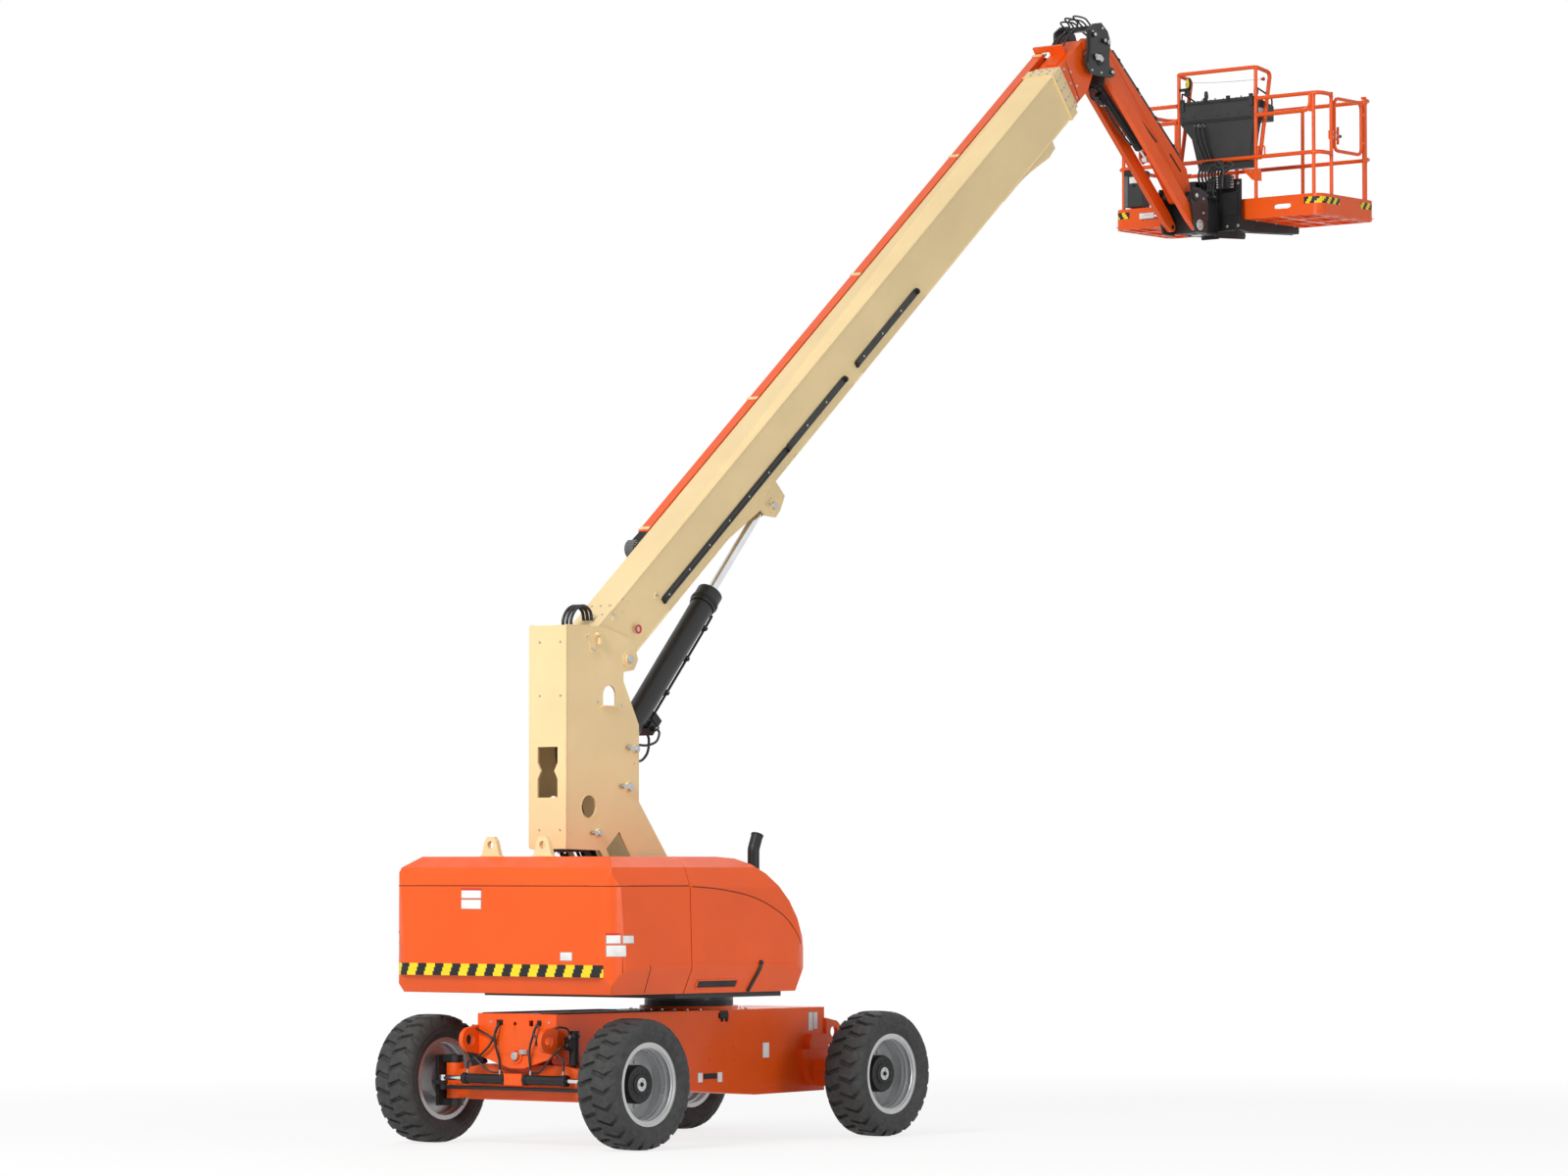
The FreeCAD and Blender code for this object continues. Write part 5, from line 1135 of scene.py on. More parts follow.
def dress_track():
    """Joints and end plate of the cable track, and the lines in it that show at its lower end."""
    form = Form("track_fittings", "base_boom", [CREAM, ZINC, BLACK, PAINTED_SHADE], BOOM)
    outer = 260
    for along in (1200, 3000, 4800, 6600, 8190):
        form.block((along, 162, 294), (along + 34, outer + 5, 300))
        form.block((along, 162, 410), (along + 34, outer + 5, 416))
        form.block((along, outer, 294), (along + 34, outer + 6, 416))
        for across in (322, 388):
            form.bolt((along + 17, outer + 6, across), (0, 1, 0), 7, 1)
    form.block((1176, 158, 296), (1184, 264, 308), 2)
    for k in range(9):
        a = math.radians(90 + 180 * k / 8)
        place = Vector((1010 + 62 * math.cos(a), 0, 355 + 62 * math.sin(a)))
        for y in (166, 256):
            form.rod(place + Vector((0, y - 3, 0)), place + Vector((0, y + 3, 0)), 15, 2, 20)
            form.bolt(place + Vector((0, y + (3 if y > 200 else -3), 0)), (0, 1 if y > 200 else -1, 0), 5, 1)
    form.done(1.0)

    lines = Form("track_lines", "base_boom", [HOSE, ZINC], BOOM)
    for k in range(3):
        y = 182 + 26 * k
        lines.pipe([(1170, y, 405), (1010, y, 405), (955, y, 355), (1010, y, 305), (1100, y, 305)], 9, 0, 10)
    for k in range(2):
        y = 176 + 30 * k
        lines.pipe([(1120, y, 300), (1050, y, 262), (940, y - 10, 262), (800, 166, 300), (640, 163, 320),
                    (520, 157, 290)], 9, 0, 10)
    for along in (640, 800):
        lines.block((along - 12, 150, 284), (along + 12, 182, 338), 1)
    lines.done(0)


def dress_fly():
    """Bolts, welds and arm fittings of the fly section, and bolts at the mid section's mouth."""
    form = Form("fly_fittings", "fly_boom", [ORANGE, ZINC, BLACK, PAINTED_SHADE], BOOM)
    for side in (-1, 1):
        for along, across in ((8060, 30), (8060, 180), (8060, 330), (8130, 106), (8130, 255)):
            form.bolt((along, side * FLY_HALF, across), (0, side, 0), 9, 1)
        form.collar(32, 66, 8, (LEVEL_ALONG, side * FLY_HALF, LEVEL_ACROSS), (0, side, 0), 0, 40)
        y = side * FLY_HALF
        form.pipe([(LEVEL_ALONG - 30, y, FLY_HIGH - 6), (LEVEL_ALONG - 64, y, 298)], 6, 0, 8)
        # A dark line across the side: painted shade of a plate joint.
        form.pipe([(8086, y, FLY_LOW + 8), (8124, y, FLY_HIGH - 4)], 4, 3, 8)
        form.pipe([(8230, y, FLY_LOW + 6), (LEVEL_ALONG - 66, y, 78)], 6, 0, 8)
    arm_x = BASE_END + 290 + 32
    for y, across in ((-34, 420), (20, 420), (205, 440), (245, 440), (228, 320)):
        form.bolt((arm_x, y, across), (1, 0, 0), 9, 1)
    form.rod((arm_x - 60, 160, 350), (arm_x - 26, 160, 350), 17, 2, 24)
    for y in (186, 214, 240):
        form.rod((arm_x, y, 372), (arm_x + 30, y, 372), 12, 1, 6)
    form.done(1.2)

    mouth = Form("mid_mouth_fittings", "mid_boom", [CREAM, ZINC], BOOM)
    collar = [BASE_END + 48]
    for side in (-1, 1):
        mouth.bolts(collar, [side * 136], (20, 120, 230, 330), (0, side, 0), 8, 1)
    mouth.bolts(collar, (-80, 0, 80), [386], (0, 0, 1), 8, 1)
    mouth.done(1.0)


def dress_lift_ram():
    """Gland, valve block, pipes and hoses of the lift ram, and the collar of its rod."""
    length = 1740
    form = Form("lift_ram_fittings", "lift_barrel", [BLACK, ZINC, HOSE], LIFT_RAM)
    form.turned([(109, 0), (118, 8), (118, 34), (109, 42)], (length - 130, 0, 0), (1, 0, 0), 0, 64)
    form.turned([(41, 0), (100, 0), (84, 16), (41, 22)], (length, 0, 0), (1, 0, 0), 0, 64)
    for u, v in around(8, 88):
        form.bolt((length + 2, u, v), (1, 0, 0), 8, 1)
    form.turned([(97, 0), (104, 6), (104, 26), (97, 32)], (84, 0, 0), (1, 0, 0), 0, 64)
    for y in (-30, 30):
        form.pipe([(470, y, -118), (560, y, -122), (1500, y, -122), (1580, y, -112)], 11, 0, 12)
    for along in (720, 1100, 1440):
        form.block((along, -48, -138), (along + 30, 48, -98))
    form.block((318, -84, -182), (400, 84, -96))
    form.block((420, -72, -196), (492, 40, -92))
    for y in (-84, 84):
        form.rod((352, y * 0.9, -140), (352, y * 1.45, -140), 22, 0, 24)
        form.rod((352, y * 1.4, -140), (352, y * 1.6, -140), 15, 1, 6)
    form.rod((440, -30, -190), (440, -30, -232), 20, 0, 24)
    form.rod((440, -30, -226), (440, -30, -244), 12, 1, 6)
    form.rod((374, 30, -180), (374, 30, -214), 16, 1, 6)
    form.rod((500, 20, -140), (540, 20, -140), 19, 0, 24)
    form.done(2.0)

    hose = Form("lift_ram_hoses", "lift_barrel", [HOSE], LIFT_RAM)
    hose.pipe([(374, 30, -212), (352, 34, -270), (270, 40, -330), (170, 44, -318), (120, 44, -240),
               (150, 44, -150), (230, 44, -108), (324, 40, -120)], 11, 0, 12)
    hose.pipe([(352, -134, -140), (330, -150, -172), (262, -140, -196), (190, -110, -160), (150, -70, -112)],
              10)
    hose.done(0)

    rod = Form("lift_rod_eye", "lift_rod", [BLACK, ZINC], LIFT_RAM)
    total = math.hypot(LIFT_EYE[0] - LIFT_BASE[0], LIFT_EYE[1] - LIFT_BASE[1])
    rod.turned([(40.5, 0), (47, 4), (47, 26), (40.5, 34)], (total - 84, 0, 0), (1, 0, 0), 0, 40)
    rod.rod((total - 40, 0, 44), (total - 40, 0, 62), 6, 1, 12)
    rod.done(1.0)


dress_base_boom()
dress_track()
dress_fly()
dress_lift_ram()


# ---- levelling knuckle and jib ---------------------------------------------------------------
KNUCKLE_HALF = 190
JIB_HALF = 90


def dress_knuckle():
    """Pins, keepers, ribs and hose plate of the levelling knuckle."""
    form = Form("knuckle_fittings", "knuckle", [BLACK, ZINC, CHROME])
    kx, kz = LEVEL_PIN
    for side in (-1, 1):
        keeper(form, (kx, kz), (kx - 84, kz + 22), side * (KNUCKLE_HALF + 13), side, 26, 1, 1)
        form.collar(32, 58, 8, (kx, side * KNUCKLE_HALF, kz), (0, side, 0), 0, 40)
        keeper(form, JIB_PIN, (JIB_PIN[0] - 66, JIB_PIN[1] + 8), side * (KNUCKLE_HALF + 11), side, 22, 1, 0)
        form.pin_end((LINK_PIN[0], side * (KNUCKLE_HALF + 9), LINK_PIN[1]), (0, side, 0), 17, 1)
        low_y = min(side * KNUCKLE_HALF, side * (KNUCKLE_HALF + 10))
        rib = [(kx - 196, kz - 56), (kx - 172, kz + 60), (kx - 170, kz + 240), (kx - 148, kz + 240),
               (kx - 150, kz + 60), (kx - 172, kz - 52)]
        form.prism(rib, low_y, 10)
        for x, z in ((kx - 120, kz - 110), (kx - 110, kz + 238), (kx + 40, kz + 282), (kx + 20, kz - 118)):
            form.bolt((x, side * KNUCKLE_HALF, z), (0, side, 0), 9, 1)
        x, z = kx - 96, kz + 210
        form.rod((x, side * KNUCKLE_HALF, z), (x, side * (KNUCKLE_HALF + 16), z), 24)
        form.pin_end((x, side * (KNUCKLE_HALF + 15), z), (0, side, 0), 17, 1)
        form.pin_end((JIB_RAM_BASE[0], side * 68, JIB_RAM_BASE[1]), (0, side, 0), 16, 1)
    form.block((kx - 40, -150, kz + 284), (kx + 18, 150, kz + 304))
    for y in (-96, -48, 0, 48):
        form.rod((kx - 12, y, kz + 300), (kx - 12, y, kz + 318), 13, 1, 6)
    form.block((kx + 106, -44, kz + 20), (kx + 132, 44, kz + 96))
    form.done(2.0)


def knuckle_hoses():
    """Loose loops from the fly's arm over to the knuckle, and from there down into the jib's cover."""
    kx, kz = LEVEL_PIN
    arm = MACHINE.inverted() @ (BOOM @ Vector((BASE_END + 330, 0, 430)))
    first = Form("levelling_hoses", None, [HOSE])
    for k, rise in enumerate((30, 0, 18, -14)):
        y0 = -40 + 44 * k
        y1 = -96 + 48 * k
        first.pipe([(arm.x - 8, y0, arm.z - 16), (arm.x + 70, y0, arm.z + 90 + rise * 0.4),
                    (arm.x + 200, (y0 * 2 + y1) / 3, kz + 268 + rise),
                    (kx - 236, (y0 + y1) / 2, kz + 336 + rise), (kx - 110, y1, kz + 346 + rise * 0.6),
                    (kx - 36, y1, kz + 326), (kx - 12, y1, kz + 306)], 8, 0, 10)
    piece = first.done(0)
    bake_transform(piece)

    over = Form("jib_hoses", None, [HOSE])
    for k in range(4):
        y = -54 + 36 * k
        down = [MACHINE.inverted() @ (JIB @ Vector(p)) for p in ((90, y, 122), (170, y, 130), (250, y, 140))]
        over.pipe([(kx + 4, y * 1.4, kz + 296), (kx + 60, y * 1.2, kz + 288)] + down, 9, 0, 10)
    piece = over.done(0)
    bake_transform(piece)


def dress_jib():
    """Seams, slots drawn as dark prisms of painted shade, rings and clips of the jib, the hoses at its end,
    and the links' rings.
    """
    form = Form("jib_fittings", "jib", [ORANGE, ZINC, BLACK, PAINTED_SHADE], JIB)
    end = JIB_LENGTH
    for side in (-1, 1):
        face = side * JIB_HALF
        low_y = min(face, side * (JIB_HALF + 3))
        form.pipe([(210, face, 58), (700, face, 52), (1250, face, 34), (end - 90, face, -8)], 5, 0, 8)
        # Slots as thin dark prisms of painted shade on the side.
        for slot in ([(883, -30), (900, -18), (1196, 22), (1206, 12), (1200, 2), (898, -44)],
                     [(1403, 86), (1420, 98), (1630, 104), (1640, 92), (1628, 84), (1416, 76)]):
            form.prism(slot, low_y, 3, "Y", 3)
        for along in (0, end):
            form.collar(27, 52, 6, (along, face, 0), (0, side, 0), 0, 40)
        for along in (420, 760, 1100):
            form.bolt((along, side * 70, 124 + 0.05 * along), (0, side, 0), 7, 1)
    for along in (330, 700, 1060, 1420):
        rise = 94 + (along - 30) * 88 / (end - 199) + 46
        form.block((along - 14, -76, rise - 30), (along + 14, 76, rise + 4), 2)
    form.done(1.2)

    tail = Form("jib_tail_hoses", "jib", [HOSE, ZINC], JIB)
    for k in range(5):
        y = -56 + 28 * k
        tail.pipe([(1500, y, 196), (1570, y, 210), (1690, y, 196), (1770, y * 1.15, 150),
                   (1830, y * 1.3, 112)], 10, 0, 10)
    tail.done(0)

    links = Form("jib_link_fittings", "jib_links", [ORANGE, ZINC])
    for place in (LINK_PIN, LINK_END):
        for side in (-1, 1):
            links.collar(20.5, 40, 5, (place[0], side * 160, place[1]),
                         (0, side, 0), 0, 36)
    links.done(1.0)


def dress_jib_ram():
    """Gland, valve and hoses of the jib's ram."""
    total = math.hypot(JIB_RAM_EYE[0] - JIB_RAM_BASE[0], JIB_RAM_EYE[1] - JIB_RAM_BASE[1])
    length = total - 137
    form = Form("jib_ram_fittings", "jib_barrel", [BLACK, ZINC], JIB_RAM)
    form.turned([(20.5, -2), (42, -2), (44, 8), (44, 54), (40, 64)], (length - 60, 0, 0), (1, 0, 0), 0, 48)
    form.turned([(40, 0), (47, 4), (47, 22), (40, 28)], (60, 0, 0), (1, 0, 0), 0, 48)
    form.block((120, -32, -82), (240, 32, -34))
    form.block((150, -26, -104), (214, 26, -78))
    for along in (140, 220):
        form.rod((along, 0, -104), (along, 0, -78), 12, 1, 6)
    form.rod((232, 0, -60), (262, 0, -60), 13, 1, 6)
    form.done(1.5)
    hose = Form("jib_ram_hoses", "jib_barrel", [HOSE], JIB_RAM)
    for y in (-18, 18):
        hose.pipe([(260, y, -58), (330, y, -62), (480, y * 1.5, -70), (640, y * 1.4, -62),
                   (length - 90, y, -50)], 9, 0, 10)
        hose.pipe([(140, y, -100), (118, y, -128), (70, y, -132), (30, y, -104), (16, y, -70),
                   (20, y, -42)], 9, 0, 10)
    hose.done(0)


dress_knuckle()
knuckle_hoses()
dress_jib()
dress_jib_ram()


# ---- rotator and platform --------------------------------------------------------------------
# PLATFORM is the frame at the middle of the platform's near edge, at the height of its underside.
ROTATOR_X = JIB_END[0] + 289
SWIVEL_X = -303
DEPTH = 914
NEAR_X = ROTATOR_X - SWIVEL_X
FAR_X = NEAR_X + DEPTH
PLATFORM_LOW = JIB_END[1] - 178
PLATFORM_HALF = 1150
PLATFORM = MACHINE @ Matrix.Translation((NEAR_X, 0, PLATFORM_LOW))
FLOOR_TOP = 40
MID_RAIL = 570
GATE_LATCH = 230
GATE_HINGE = 770
RAIL_TOP = 1110
RAIL_X0 = 31.3
RAIL_X1 = DEPTH - 31.3
RAIL_Y = PLATFORM_HALF - 31.3
HOOP_LEFT = 450
HOOP_RIGHT = -430
CONSOLE_LOW = 930


def dress_bracket():
    """Pins, rotator caps, blocks and hoses of the bracket at the jib's end."""
    form = Form("bracket_fittings", "jib_bracket", [BLACK, ZINC, CHROME, SILVER])
    jx, jz = JIB_END
    lx, lz = LINK_END
    for side in (-1, 1):
        form.pin_end((jx, side * (KNUCKLE_HALF + 5), jz), (0, side, 0), 22, 1)
        form.collar(27, 54, 9, (jx, side * KNUCKLE_HALF, jz), (0, side, 0), 0, 40)
        form.turned([(21, 0), (50, 0), (50, 6), (44, 10), (21, 10)], (lx, side * KNUCKLE_HALF, lz),
                    (0, side, 0), 3, 40)
        form.pin_end((lx, side * (KNUCKLE_HALF + 4), lz), (0, side, 0), 20, 1)
        for x, z in ((jx + 120, jz - 20), (jx + 120, jz - 150), (jx + 60, lz - 40)):
            form.bolt((x, side * KNUCKLE_HALF, z), (0, side, 0), 9, 1)
    for z in (PLATFORM_LOW - 104, PLATFORM_LOW + 182):
        form.turned([(92, 0), (104, 6), (104, 26), (92, 32)], (ROTATOR_X, 0, z), (0, 0, 1), 0, 56)
    for u, v in around(12, 98):
        form.bolt((ROTATOR_X + u, v, PLATFORM_LOW + 214), (0, 0, 1), 6, 1)
    form.block((ROTATOR_X - 128, 66, PLATFORM_LOW - 60), (ROTATOR_X - 40, 158, PLATFORM_LOW + 120))
    form.block((ROTATOR_X - 120, -150, PLATFORM_LOW - 20), (ROTATOR_X - 50, -66, PLATFORM_LOW + 100))
    for k in range(4):
        z = PLATFORM_LOW - 30 + 40 * k
        form.rod((ROTATOR_X - 84, 158, z), (ROTATOR_X - 84, 170, z), 12, 1, 6)
        form.rod((ROTATOR_X - 84, -150, z), (ROTATOR_X - 84, -166, z), 11, 1, 6)
    form.done(2.0)

    hoses = Form("rotator_hoses", "jib_bracket", [HOSE])
    for k in range(4):
        z = PLATFORM_LOW - 28 + 38 * k
        for side in (-1, 1):
            hoses.pipe([(ROTATOR_X - 84, side * 166, z), (ROTATOR_X - 92, side * 178, z + 24),
                        (ROTATOR_X - 116, side * 176, z + 76),
                        (ROTATOR_X - 138, side * (164 - 18 * k), jz - 30),
                        (ROTATOR_X - 150, side * (140 - 24 * k), jz + 30)], 9, 0, 10)
    hoses.done(0)


def dress_support():
    """Valve blocks, hose bundle and fittings between the rotator and the platform's near side."""
    form = Form("support_fittings", "platform", [BLACK, ZINC, PLASTIC, GREY], PLATFORM)
    face = -78
    back = SWIVEL_X + 225
    form.bolts([face], (-300, -180, 180, 300), (-60, 330), (-1, 0, 0), 11, 1)
    form.block((face - 92, -262, 278), (face, -128, 404))
    form.block((face - 10, -296, 40), (face, -140, 250))
    form.block((face - 60, 128, 278), (face, 268, 372))
    form.block((face - 62, -106, 182), (face, -20, 300))
    for k in range(5):
        z = 290 + 25 * k
        form.rod((face - 116, -150, z), (face - 90, -150, z), 10, 1, 6)
        form.rod((face - 112, -206, z), (face - 90, -206, z), 12, 2, 20)
        form.rod((face - 60, -290, z), (face - 60, -258, z), 10, 1, 6)
    for k in range(3):
        y = -34 - 28 * k
        form.rod((face - 88, y, 214), (face - 60, y, 214), 12, 1, 6)
        form.rod((face - 78, y, 268), (face - 60, y, 268), 12, 3, 20)
    form.block((back, -60, -40), (back + 14, 60, 250))
    form.bolts([SWIVEL_X + 200], (-66, 66), (-130, 240), (-1, 0, 0), 10, 1)
    for z, up in ((-140, -1), (250, 1)):
        form.turned([(0.5, 0), (54, 0), (54, 10), (40, 16), (0.5, 16)], (SWIVEL_X, 0, z), (0, 0, up), 1, 40)
    for side in (-1, 1):
        y = side * 300
        form.rod((DEPTH - 42, y, -30), (DEPTH - 28, y, -30), 26, 0, 28)
        form.pipe([(-60, y - 30 * side, -106), (60, y - 30 * side, -108),
                   (DEPTH - 60, y - 30 * side, -62)], 7, 0, 8)
    form.done(2.0)

    hoses = Form("support_hoses", "platform", [HOSE, BLACK], PLATFORM)
    for k in range(6):
        y = -60 - 34 * k
        top = 470 + 26 * math.sin(k * 1.3)
        hoses.pipe([(face - 20, y + 70, 340), (face - 56, y + 40, 440),
                    (face - 70, y - 20, top + 40), (face - 74, y - 70, top + 10),
                    (face - 92, -206, 450 - 6 * k),
                    (face - 112, -206, 292 + 22 * k)], 10, 0, 10)
    for k in range(5):
        y = 90 - 36 * k
        hoses.pipe([(face - 10, y, 300), (face - 54, y + 8, 400 + 12 * k),
                    (face - 20, y, 520), (14, y, 560)], 11, 0, 10)
    for k in range(3):
        y = -34 - 28 * k
        hoses.pipe([(face - 86, y, 214), (face - 98, y, 262),
                    (face - 96, y - 20, 340), (face - 104, -138, 362 + 12 * k)],
                   9, 0, 10)
    hoses.done(0)


def toe_patches():
    """Slanted hazard blocks on the toe board, blank plate and the corner seams."""
    skin = Skin("platform_floor")
    form = Form("toe_patches", "platform", [BLACK, YELLOW, WHITE, LABEL_EDGE])
    low, high = PLATFORM_LOW + 100, PLATFORM_LOW + 160

    def blocks(path, first=0):
        grid = [[skin.meet((x, y, low + (high - low) * r / 3), way, 1.0) for r in range(4)]
                for x, y, way in path]
        form.sheet(grid, lambda k, r: int((k + first + 2 - r) // 3) % 2)

    corner = 90

    def round_corner(x_mid, y_mid, x_way, y_way):
        """Places round one corner from the X-facing side to the Y-facing one."""
        path = []
        for k in range(7):
            a = math.radians(90 * k / 6)
            place = (x_mid + x_way * corner * math.cos(a), y_mid + y_way * corner * math.sin(a))
            path.append((*place, (-x_way * math.cos(a), -y_way * math.sin(a), 0)))
        return path

    step = 16
    for side in (-1, 1):
        middle = side * (PLATFORM_HALF - corner)
        inwards = (0, -side, 0)
        near = [(NEAR_X, side * (972 + step * k), (1, 0, 0)) for k in range(6)]
        turn = round_corner(NEAR_X + corner, middle, -1, side)
        end = [(NEAR_X + corner + step * (k + 1), side * PLATFORM_HALF, inwards) for k in range(14)]
        blocks(near + turn + end)
        end = [(FAR_X - corner - step * (10 - k), side * PLATFORM_HALF, inwards) for k in range(10)]
        turn = list(reversed(round_corner(FAR_X - corner, middle, 1, side)))
        far = [(FAR_X, middle - side * step * (k + 1), (-1, 0, 0)) for k in range(10)]
        blocks(end + turn + far, 2)
    for x, way in ((NEAR_X, -1), (FAR_X, 1)):
        y0, y1 = (694, 861) if way < 0 else (-861, -694)
        blank_label(form, (y0, PLATFORM_LOW + 85), (y1, PLATFORM_LOW + 142), "X", x, way, 2, 3)
    form.done(0, 60)

    rims = Form("toe_slot_rims", "platform", [ORANGE])
    for x in (NEAR_X + 1, NEAR_X + 11, FAR_X - 11, FAR_X - 1):
        for y in (-735, 735):
            loop = []
            for k in range(25):
                a = 2 * math.pi * k / 24
                bulge_y = math.copysign(abs(math.cos(a)) ** 0.5, math.cos(a))
                bulge_z = math.copysign(abs(math.sin(a)) ** 0.7, math.sin(a))
                loop.append((x, y + 96 * bulge_y, PLATFORM_LOW + 94 + 25 * bulge_z))
            rims.pipe(loop, 3.2, 0, 6)
    for y in (-PLATFORM_HALF, PLATFORM_HALF):
        for side in (NEAR_X + 90, FAR_X - 90):
            seam = [(side, y * 0.9995, PLATFORM_LOW + 6), (side, y * 0.9995, PLATFORM_LOW + 184)]
            rims.pipe(seam, 2.2, 0, 6)
    rims.done(0)


def under_slats():
    """Cross slats and clips that show from below."""
    form = Form("floor_slats", "platform", [ORANGE, ZINC], PLATFORM)
    form.block((12, -PLATFORM_HALF + 12, 24), (DEPTH - 12, PLATFORM_HALF - 12, 30))
    for k in range(16):
        y = -1090 + 2180 * k / 15
        form.block((14, y - 9, 4), (DEPTH - 14, y + 9, 26))
    last = PLATFORM_HALF - 90
    form.bolts((150, 457, DEPTH - 150), [last * (k - 3) / 3 for k in range(7)], [0], (0, 0, -1), 9, 1)
    form.done(1.5)

    tread = Form("floor_tread", "platform", [GREY], PLATFORM)
    for row in range(27):
        for column in range(11):
            x = 60 + 78 * column + (39 if row % 2 else 0)
            y = -1080 + 82 * row
            if x > DEPTH - 60:
                continue
            way = math.radians(45 if row % 2 else -45)
            turn = Matrix.Translation((x, y, FLOOR_TOP)) @ Matrix.Rotation(way, 4, "Z")
            tread.block((-17, -4, -1), (17, 4, 3), 0, turn)
    tread.done(0)


def dress_rails():
    """Sockets, clamps, gussets, ring, grips and latch plate of the rails."""
    form = Form("rail_fittings", "platform", [ORANGE, ZINC, BLACK], PLATFORM)
    feet = [(RAIL_X0, -RAIL_Y + 60), (RAIL_X0, RAIL_Y - 60), (RAIL_X0 + 12, HOOP_LEFT - 12),
            (RAIL_X0 + 12, HOOP_RIGHT + 12), (GATE_LATCH, -RAIL_Y), (GATE_HINGE, -RAIL_Y)]
    feet += [(RAIL_X1, y) for y in (-RAIL_Y + 60, -370, 370, RAIL_Y - 60)]
    for x, y in feet:
        form.turned([(17.2, 0), (30, 0), (24, 26), (17.2, 30)], (x, y, FLOOR_TOP), (0, 0, 1), 0, 28)
    for z in (RAIL_TOP, MID_RAIL):
        for x, y in feet:
            form.collar(17.2, 21, 6, (x, y, z - 26), (0, 0, 1), 0, 24)
    gusset = [(HOOP_RIGHT + 160, 470), (HOOP_RIGHT - 55, 462), (HOOP_RIGHT - 55, 344),
              (HOOP_RIGHT + 42, 362)]
    form.prism(gusset, RAIL_X0 - 4, 8, "X", 0)
    mirrored = [(-y + 20, z) for y, z in gusset]
    form.prism(mirrored, RAIL_X0 - 4, 8, "X", 0)
    for y, z in ((HOOP_RIGHT + 60, 440), (HOOP_RIGHT - 30, 440), (HOOP_RIGHT - 30, 380)):
        form.bolt((RAIL_X0 - 4, y, z), (-1, 0, 0), 8, 1)
    ring = [(RAIL_X0, HOOP_RIGHT - 16, MID_RAIL)]
    for k in range(13):
        a = math.radians(200 - 220 * k / 12)
        ring.append((RAIL_X0, HOOP_RIGHT - 56 + -38 * math.cos(a), 640 + 34 * math.sin(a)))
    ring.append((RAIL_X0, HOOP_RIGHT - 96, MID_RAIL))
    form.pipe(ring, 8, 0, 10)
    for y0, y1 in ((HOOP_RIGHT - 20, -RAIL_Y + 62), (HOOP_LEFT + 20, RAIL_Y - 62)):
        far = y0 + (y1 - y0) * 0.93
        form.pipe([(RAIL_X0, far, RAIL_TOP - 155), (RAIL_X0, y1 - (y1 - y0) * 0.02, RAIL_TOP - 140),
                   (RAIL_X0, y1, RAIL_TOP - 90), (RAIL_X0, y1, RAIL_TOP - 10)], 18.5, 0, 16)
    form.turned([(17, 0), (24, 0), (27, 7), (24, 16), (6, 20)], (GATE_HINGE, -RAIL_Y, RAIL_TOP + 14),
                (0, 0, 1), 0, 28)
    form.block((214, -RAIL_Y - 14, 700), (252, -RAIL_Y + 22, 780))
    for z in (715, 765):
        form.bolt((233, -RAIL_Y - 14, z), (0, -1, 0), 6, 1)
    form.done(1.0)


def dress_gate():
    """Latch and hinges of the gate."""
    form = Form("gate_fittings", "gate", [ORANGE, ZINC, BLACK], PLATFORM)
    x_latch = GATE_LATCH + 49
    x_hinge = GATE_HINGE - 45
    low, high = 600, RAIL_TOP - 30
    for z in (705, 770):
        form.block((x_latch - 6, -RAIL_Y - 8, z - 10), (x_latch + 66, -RAIL_Y + 8, z + 10))
    form.block((x_latch + 52, -RAIL_Y - 10, 660), (x_latch + 66, -RAIL_Y + 10, 820))
    form.rod((x_latch - 4, -RAIL_Y, 737), (x_latch + 84, -RAIL_Y, 737), 8, 1, 16)
    form.rod((x_latch + 80, -RAIL_Y, 737), (x_latch + 104, -RAIL_Y, 737), 14, 2, 20)
    for z in (low + 90, high - 130):
        form.rod((x_hinge + 10, -RAIL_Y - 10, z + 20), (x_hinge + 10, -RAIL_Y - 16, z + 20), 7, 1, 6)
        form.collar(21, 26.5, 5, (GATE_HINGE, -RAIL_Y, z + 40), (0, 0, 1), 0, 24)
    form.done(1.0)


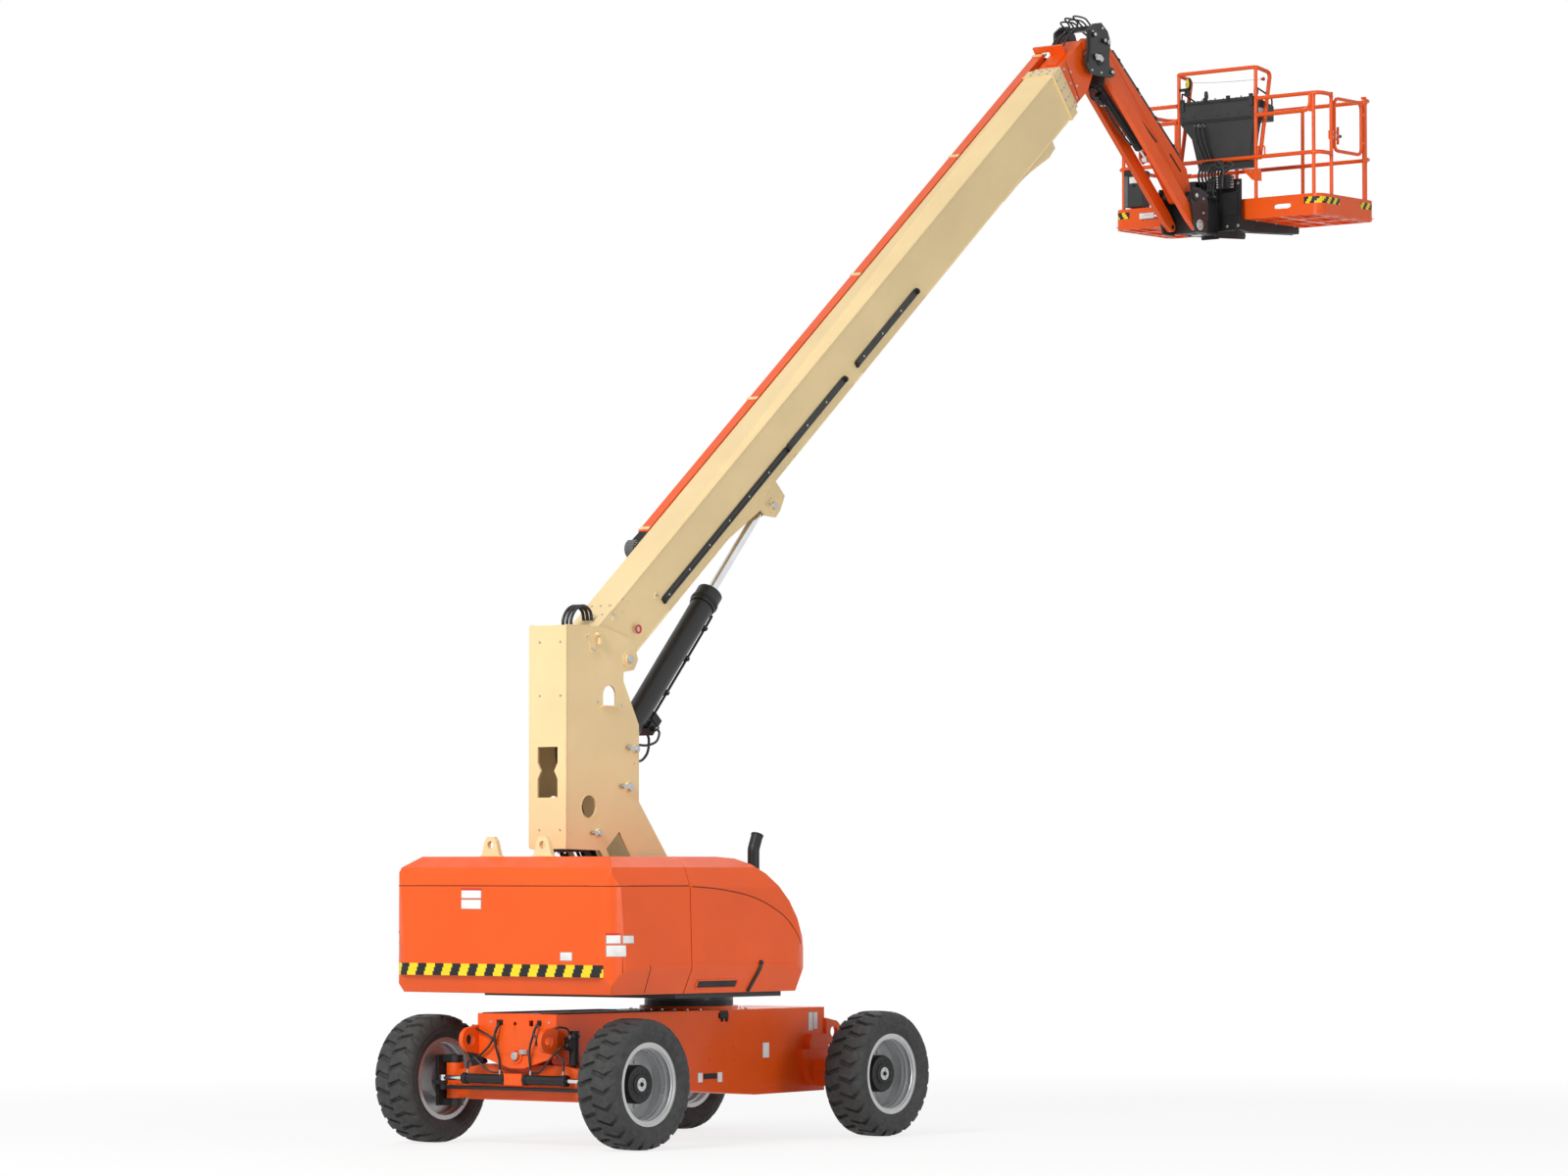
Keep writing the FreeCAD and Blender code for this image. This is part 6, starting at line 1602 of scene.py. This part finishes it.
def dress_console():
    """Sloping control face with guards, toggles, two joysticks and emergency button; side plates."""
    form = Form("console_controls", "platform", [PLASTIC, BLACK, RED, ZINC, GREY, YELLOW], PLATFORM)
    left, right = HOOP_LEFT - 30, HOOP_RIGHT + 30
    x0 = RAIL_X0 + 19
    slope = (140 - 220) / 340

    def top(x):
        return CONSOLE_LOW + 220 + slope * (x - RAIL_X0)

    lean = Matrix.Rotation(-math.atan(slope), 4, "Y")
    for k in range(11):
        y = left - 50 - k * (left - right - 100) / 10
        x = x0 + 60 + (k % 2) * 26
        place = Matrix.Translation((x, y, top(x))) @ lean
        form.block((-14, -13, -4), (14, 13, 7), 4, place)
        form.block((-4, -4, 5), (4, 4, 34), 0, place)
    for k in range(8):
        y = left - 90 - k * (left - right - 180) / 7
        x = x0 + 150
        place = Matrix.Translation((x, y, top(x))) @ lean
        form.block((-13, -12, -4), (13, 12, 6), 4, place)
        form.block((-4, -4, 5), (4, 4, 28), 0, place)
    for y in (left - 130, right + 130):
        x = x0 + 232
        base = Vector((x, y, top(x) - 4))
        form.turned([(0.5, 0), (48, 0), (44, 12), (24, 30), (15, 48), (0.5, 52)], base, (0, 0, 1), 0, 32)
        form.rod(base + Vector((0, 0, 44)), base + Vector((-8, 0, 118)), 10, 1, 20)
        form.turned([(0.5, 0), (16, 4), (20, 30), (17, 66), (10, 78), (0.5, 80)],
                    base + Vector((-7, 0, 96)), (-0.08, 0, 1), 0, 28)
    x = x0 + 210
    form.collar(0.5, 30, 10, (x, (left + right) / 2, top(x) - 2), (0, 0, 1), 5, 32)
    form.turned([(0.5, 0), (13, 0), (13, 14), (24, 18), (24, 30), (0.5, 34)],
                (x, (left + right) / 2, top(x) + 6), (0, 0, 1), 2, 32)
    for y in (left - 6, right + 6):
        guard = [(x0 + 10, y, top(x0) - 20), (x0 + 10, y, top(x0) + 56), (x0 + 40, y, top(x0) + 74),
                 (x0 + 250, y, top(x0 + 250) + 74), (x0 + 290, y, top(x0 + 290) + 50),
                 (x0 + 290, y, top(x0 + 290) - 20)]
        form.pipe(guard, 8, 1, 10)
    head = [(right + 4, CONSOLE_LOW + 6), (left - 4, CONSOLE_LOW + 6), (left - 4, CONSOLE_LOW + 206),
            (right + 4, CONSOLE_LOW + 206)]
    form.prism(head, x0 - 15, 15, "X", 0)
    form.block((x0 - 19, right + 30, CONSOLE_LOW + 14), (x0 - 14, left - 30, CONSOLE_LOW + 30), 1)
    form.block((x0 - 19, right + 8, CONSOLE_LOW + 172), (x0 - 14, left - 8, CONSOLE_LOW + 190), 1)
    for y in (left - 26, right + 26):
        form.block((x0 - 26, y - 22, CONSOLE_LOW + 120), (x0 - 14, y + 22, CONSOLE_LOW + 200))
    for k in range(7):
        y = left - 30 - k * (left - right - 60) / 6
        form.bolt((x0 - 15, y, CONSOLE_LOW + 60), (-1, 0, 0), 5, 1)
        if k % 2 == 0:
            form.block((x0 - 24, y - 18, CONSOLE_LOW + 188), (x0 - 6, y + 18, CONSOLE_LOW + 232), 1)
    for y in (250, 205, 160):
        form.rod((x0, y, CONSOLE_LOW - 8), (x0 - 22, y, CONSOLE_LOW - 26), 11, 3, 12)
    form.done(1.5)

    cables = Form("console_cables", "platform", [HOSE], PLATFORM)
    for k, y in enumerate((250, 205, 160)):
        cables.pipe([(x0 - 20, y, CONSOLE_LOW - 24), (x0 - 34, y - 6, CONSOLE_LOW - 80),
                     (x0 - 26, y - 40, CONSOLE_LOW - 220),
                     (x0 - 22, 120 - 34 * k, CONSOLE_LOW - 400), (-20, 60 - 34 * k, 420)], 9, 0, 10)
    cables.done(0)

    plates = Form("console_plates", "platform", [WHITE, LABEL_EDGE, BLACK, GREY], PLATFORM)
    blank_label(plates, (196, CONSOLE_LOW - 34), (236, CONSOLE_LOW - 6), "X", x0, -1)
    blank_label(plates, (150, CONSOLE_LOW - 36), (184, CONSOLE_LOW - 8), "X", x0, -1)
    for side_y, way in ((left, 1), (right, -1)):
        blank_label(plates, (x0 + 60, CONSOLE_LOW + 40), (x0 + 200, CONSOLE_LOW + 110), "Y", side_y, way)
    post_y = RAIL_Y - 60 - 17 - 0.3
    manual_x = RAIL_X0 - 19
    low, high = 210, 540
    plates.block((manual_x - 2, post_y - 42, low + 4), (manual_x + 1, post_y - 2, high - 4), 3)
    blank_label(plates, (post_y - 182, high - 112), (post_y - 60, high - 50), "X", manual_x, -1)
    plates.block((manual_x - 6, post_y - 196, high - 40), (manual_x + 118, post_y - 4, high + 8), 2)
    plates.rod((manual_x - 6, post_y - 110, low + 200), (manual_x - 16, post_y - 110, low + 200), 12, 2, 20)
    plates.done(0.8)


def dress_hoop():
    """Reel on the left of the hoop, its sensing wire and the red end cap on the right."""
    form = Form("hoop_reel", "platform", [BLACK, YELLOW, ZINC, RED], PLATFORM)
    place = Vector((RAIL_X0 + 26, 346, 1310))
    way = Vector((-0.75, 0.66, 0)).normalized()
    form.turned([(0.5, -22), (54, -22), (60, -16), (60, -4), (48, 0), (0.5, 0)], place, way, 0, 48)
    form.turned([(0.5, 0), (46, 0), (46, 10), (40, 14), (0.5, 14)], place, way, 1, 40)
    form.turned([(0.5, 12), (14, 12), (14, 22), (0.5, 22)], place, way, 2, 24)
    form.block((RAIL_X0 - 2, 352, 1240), (RAIL_X0 + 10, HOOP_LEFT - 20, 1268))
    form.block((RAIL_X0 + 4, 330, 1200), (RAIL_X0 + 40, 372, 1270))
    end = Vector((RAIL_X0 + 118, HOOP_RIGHT + 20, 1301))
    form.rod(end + Vector((0, -34, 0)), end, 12, 3, 24)
    form.turned([(0.5, 0), (17, 0), (19, 8), (12, 18), (0.5, 20)], end + Vector((0, -30, 0)),
                (0, 1, 0), 3, 28)
    form.done(1.0)
    wire = Form("hoop_wire", "platform", [ZINC], PLATFORM)
    wire.pipe([place + Vector((0, -54, 6)), (place + end) / 2 + Vector((0, 0, -3)), end], 2.4, 0, 8)
    wire.done(0)


dress_bracket()
dress_support()
toe_patches()
under_slats()
dress_rails()
dress_gate()
dress_console()
dress_hoop()


# ---- chassis top -----------------------------------------------------------------------------
def dress_deck():
    """Anti-slip strips on the chassis and bolts round the slewing ring."""
    form = Form("deck_fittings", "chassis", [BLACK, ZINC, PLASTIC])
    for y0, y1 in ((-396, -210), (210, 396)):
        form.block((-1660, y0, 1040), (-250, y1, 1046), 2)
    for u, v in around(28, 470):
        if abs(v) < 395:
            form.bolt((400 + u, v, 1040), (0, 0, 1), 11, 1)
    form.done(1.0)


dress_deck()
